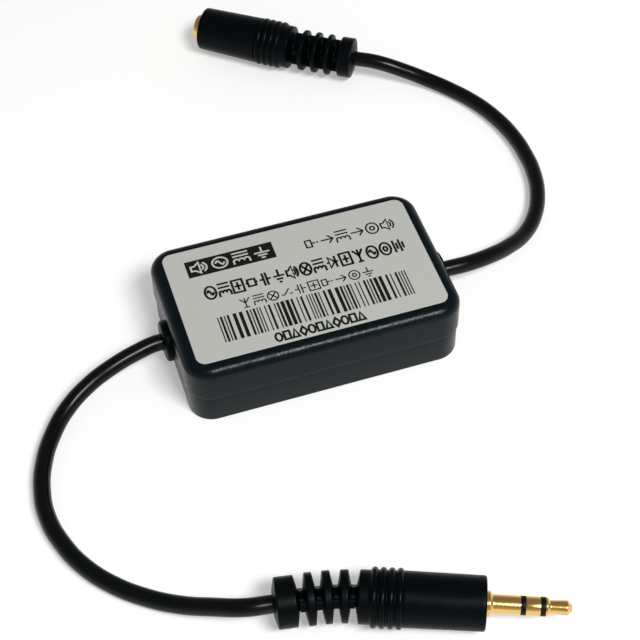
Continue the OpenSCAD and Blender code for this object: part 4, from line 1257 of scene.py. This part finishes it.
class ISOLATOR_OT_inner(Operator):
    """Finishes what the box and the socket hold inside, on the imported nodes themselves"""

    bl_idname = "isolator.inner"
    bl_label = "Inner pieces"

    def execute(self, context):
        colours = context.scene.isolator_colours
        spring, black = stamped_gold(), moulded_insulator(colours)
        finishes = {
            "circuit_board": fibre_board(),
            "solder_joints": tin_solder(),
            "jack_tip_spring": spring,
            "jack_ring_spring": spring,
            "jack_carrier": black,
        }
        wires = {
            "left": wire_pvc("white_pvc_insulation", "#DCDCD6"),
            "right": wire_pvc("red_pvc_insulation", "#B32F2A"),
            "ground": bare_copper(),
        }
        for end in ("plug", "jack"):
            finishes.update({f"{end}_{row}_wire": material for row, material in wires.items()})
        ferrite, nylon, copper = pressed_ferrite(), natural_nylon(), copper_winding()
        parts = {
            "core_in": ferrite,
            "core_out": ferrite,
            "bobbin": nylon,
            "primary": copper,
            "secondary": copper,
            "core_tape": polyester_tape(),
            "pins": tinned_wire(),
        }
        for channel in ("left", "right"):
            finishes.update({f"{channel}_{part}": material for part, material in parts.items()})
        for name, material in finishes.items():
            cad_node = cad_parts[name]
            cad_node.data.materials.clear()
            cad_node.data.materials.append(material)
        return {"FINISHED"}


class ISOLATOR_PT_panel(Panel):
    """Lists the steps and the sizes in the sidebar of the 3D view"""

    bl_idname = "ISOLATOR_PT_panel"
    bl_label = "Ground loop isolator"
    bl_space_type = "VIEW_3D"
    bl_region_type = "UI"
    bl_category = "Isolator"

    def draw(self, context):
        for step in OPERATORS:
            self.layout.operator(step.bl_idname)
        for key in GROUPS:
            group = getattr(context.scene, key)
            box = self.layout.box()
            box.label(text=key.split("_")[1].capitalize())
            for prop in group.bl_rna.properties:
                if prop.identifier not in ("rna_type", "name"):
                    box.prop(group, prop.identifier)


OPERATORS = (
    ISOLATOR_OT_stage,
    ISOLATOR_OT_cords,
    ISOLATOR_OT_case,
    ISOLATOR_OT_bushes,
    ISOLATOR_OT_label,
    ISOLATOR_OT_plug,
    ISOLATOR_OT_socket,
    ISOLATOR_OT_cord_ends,
    ISOLATOR_OT_inner,
)
GROUPS = {
    "isolator_case": CaseSizes,
    "isolator_label": LabelSizes,
    "isolator_cord": CordSizes,
    "isolator_plug": PlugGrip,
    "isolator_socket": SocketGrip,
    "isolator_contacts": ContactSizes,
    "isolator_colours": Colours,
    "isolator_stage": StageSettings,
}


def register():
    """Registers the classes and hangs each group of settings on the scene."""
    for group in GROUPS.values():
        bpy.utils.register_class(group)
    for key, group in GROUPS.items():
        setattr(bpy.types.Scene, key, PointerProperty(type=group))
    for step in (*OPERATORS, ISOLATOR_PT_panel):
        bpy.utils.register_class(step)


def unregister():
    """Takes away what register added."""
    for step in (ISOLATOR_PT_panel, *OPERATORS[::-1]):
        bpy.utils.unregister_class(step)
    for key, group in GROUPS.items():
        delattr(bpy.types.Scene, key)
        bpy.utils.unregister_class(group)


def main():
    """Runs every step."""
    register()
    for step in OPERATORS:
        family, action = step.bl_idname.split(".")
        getattr(getattr(bpy.ops, family), action)()


if __name__ == "__main__":
    main()
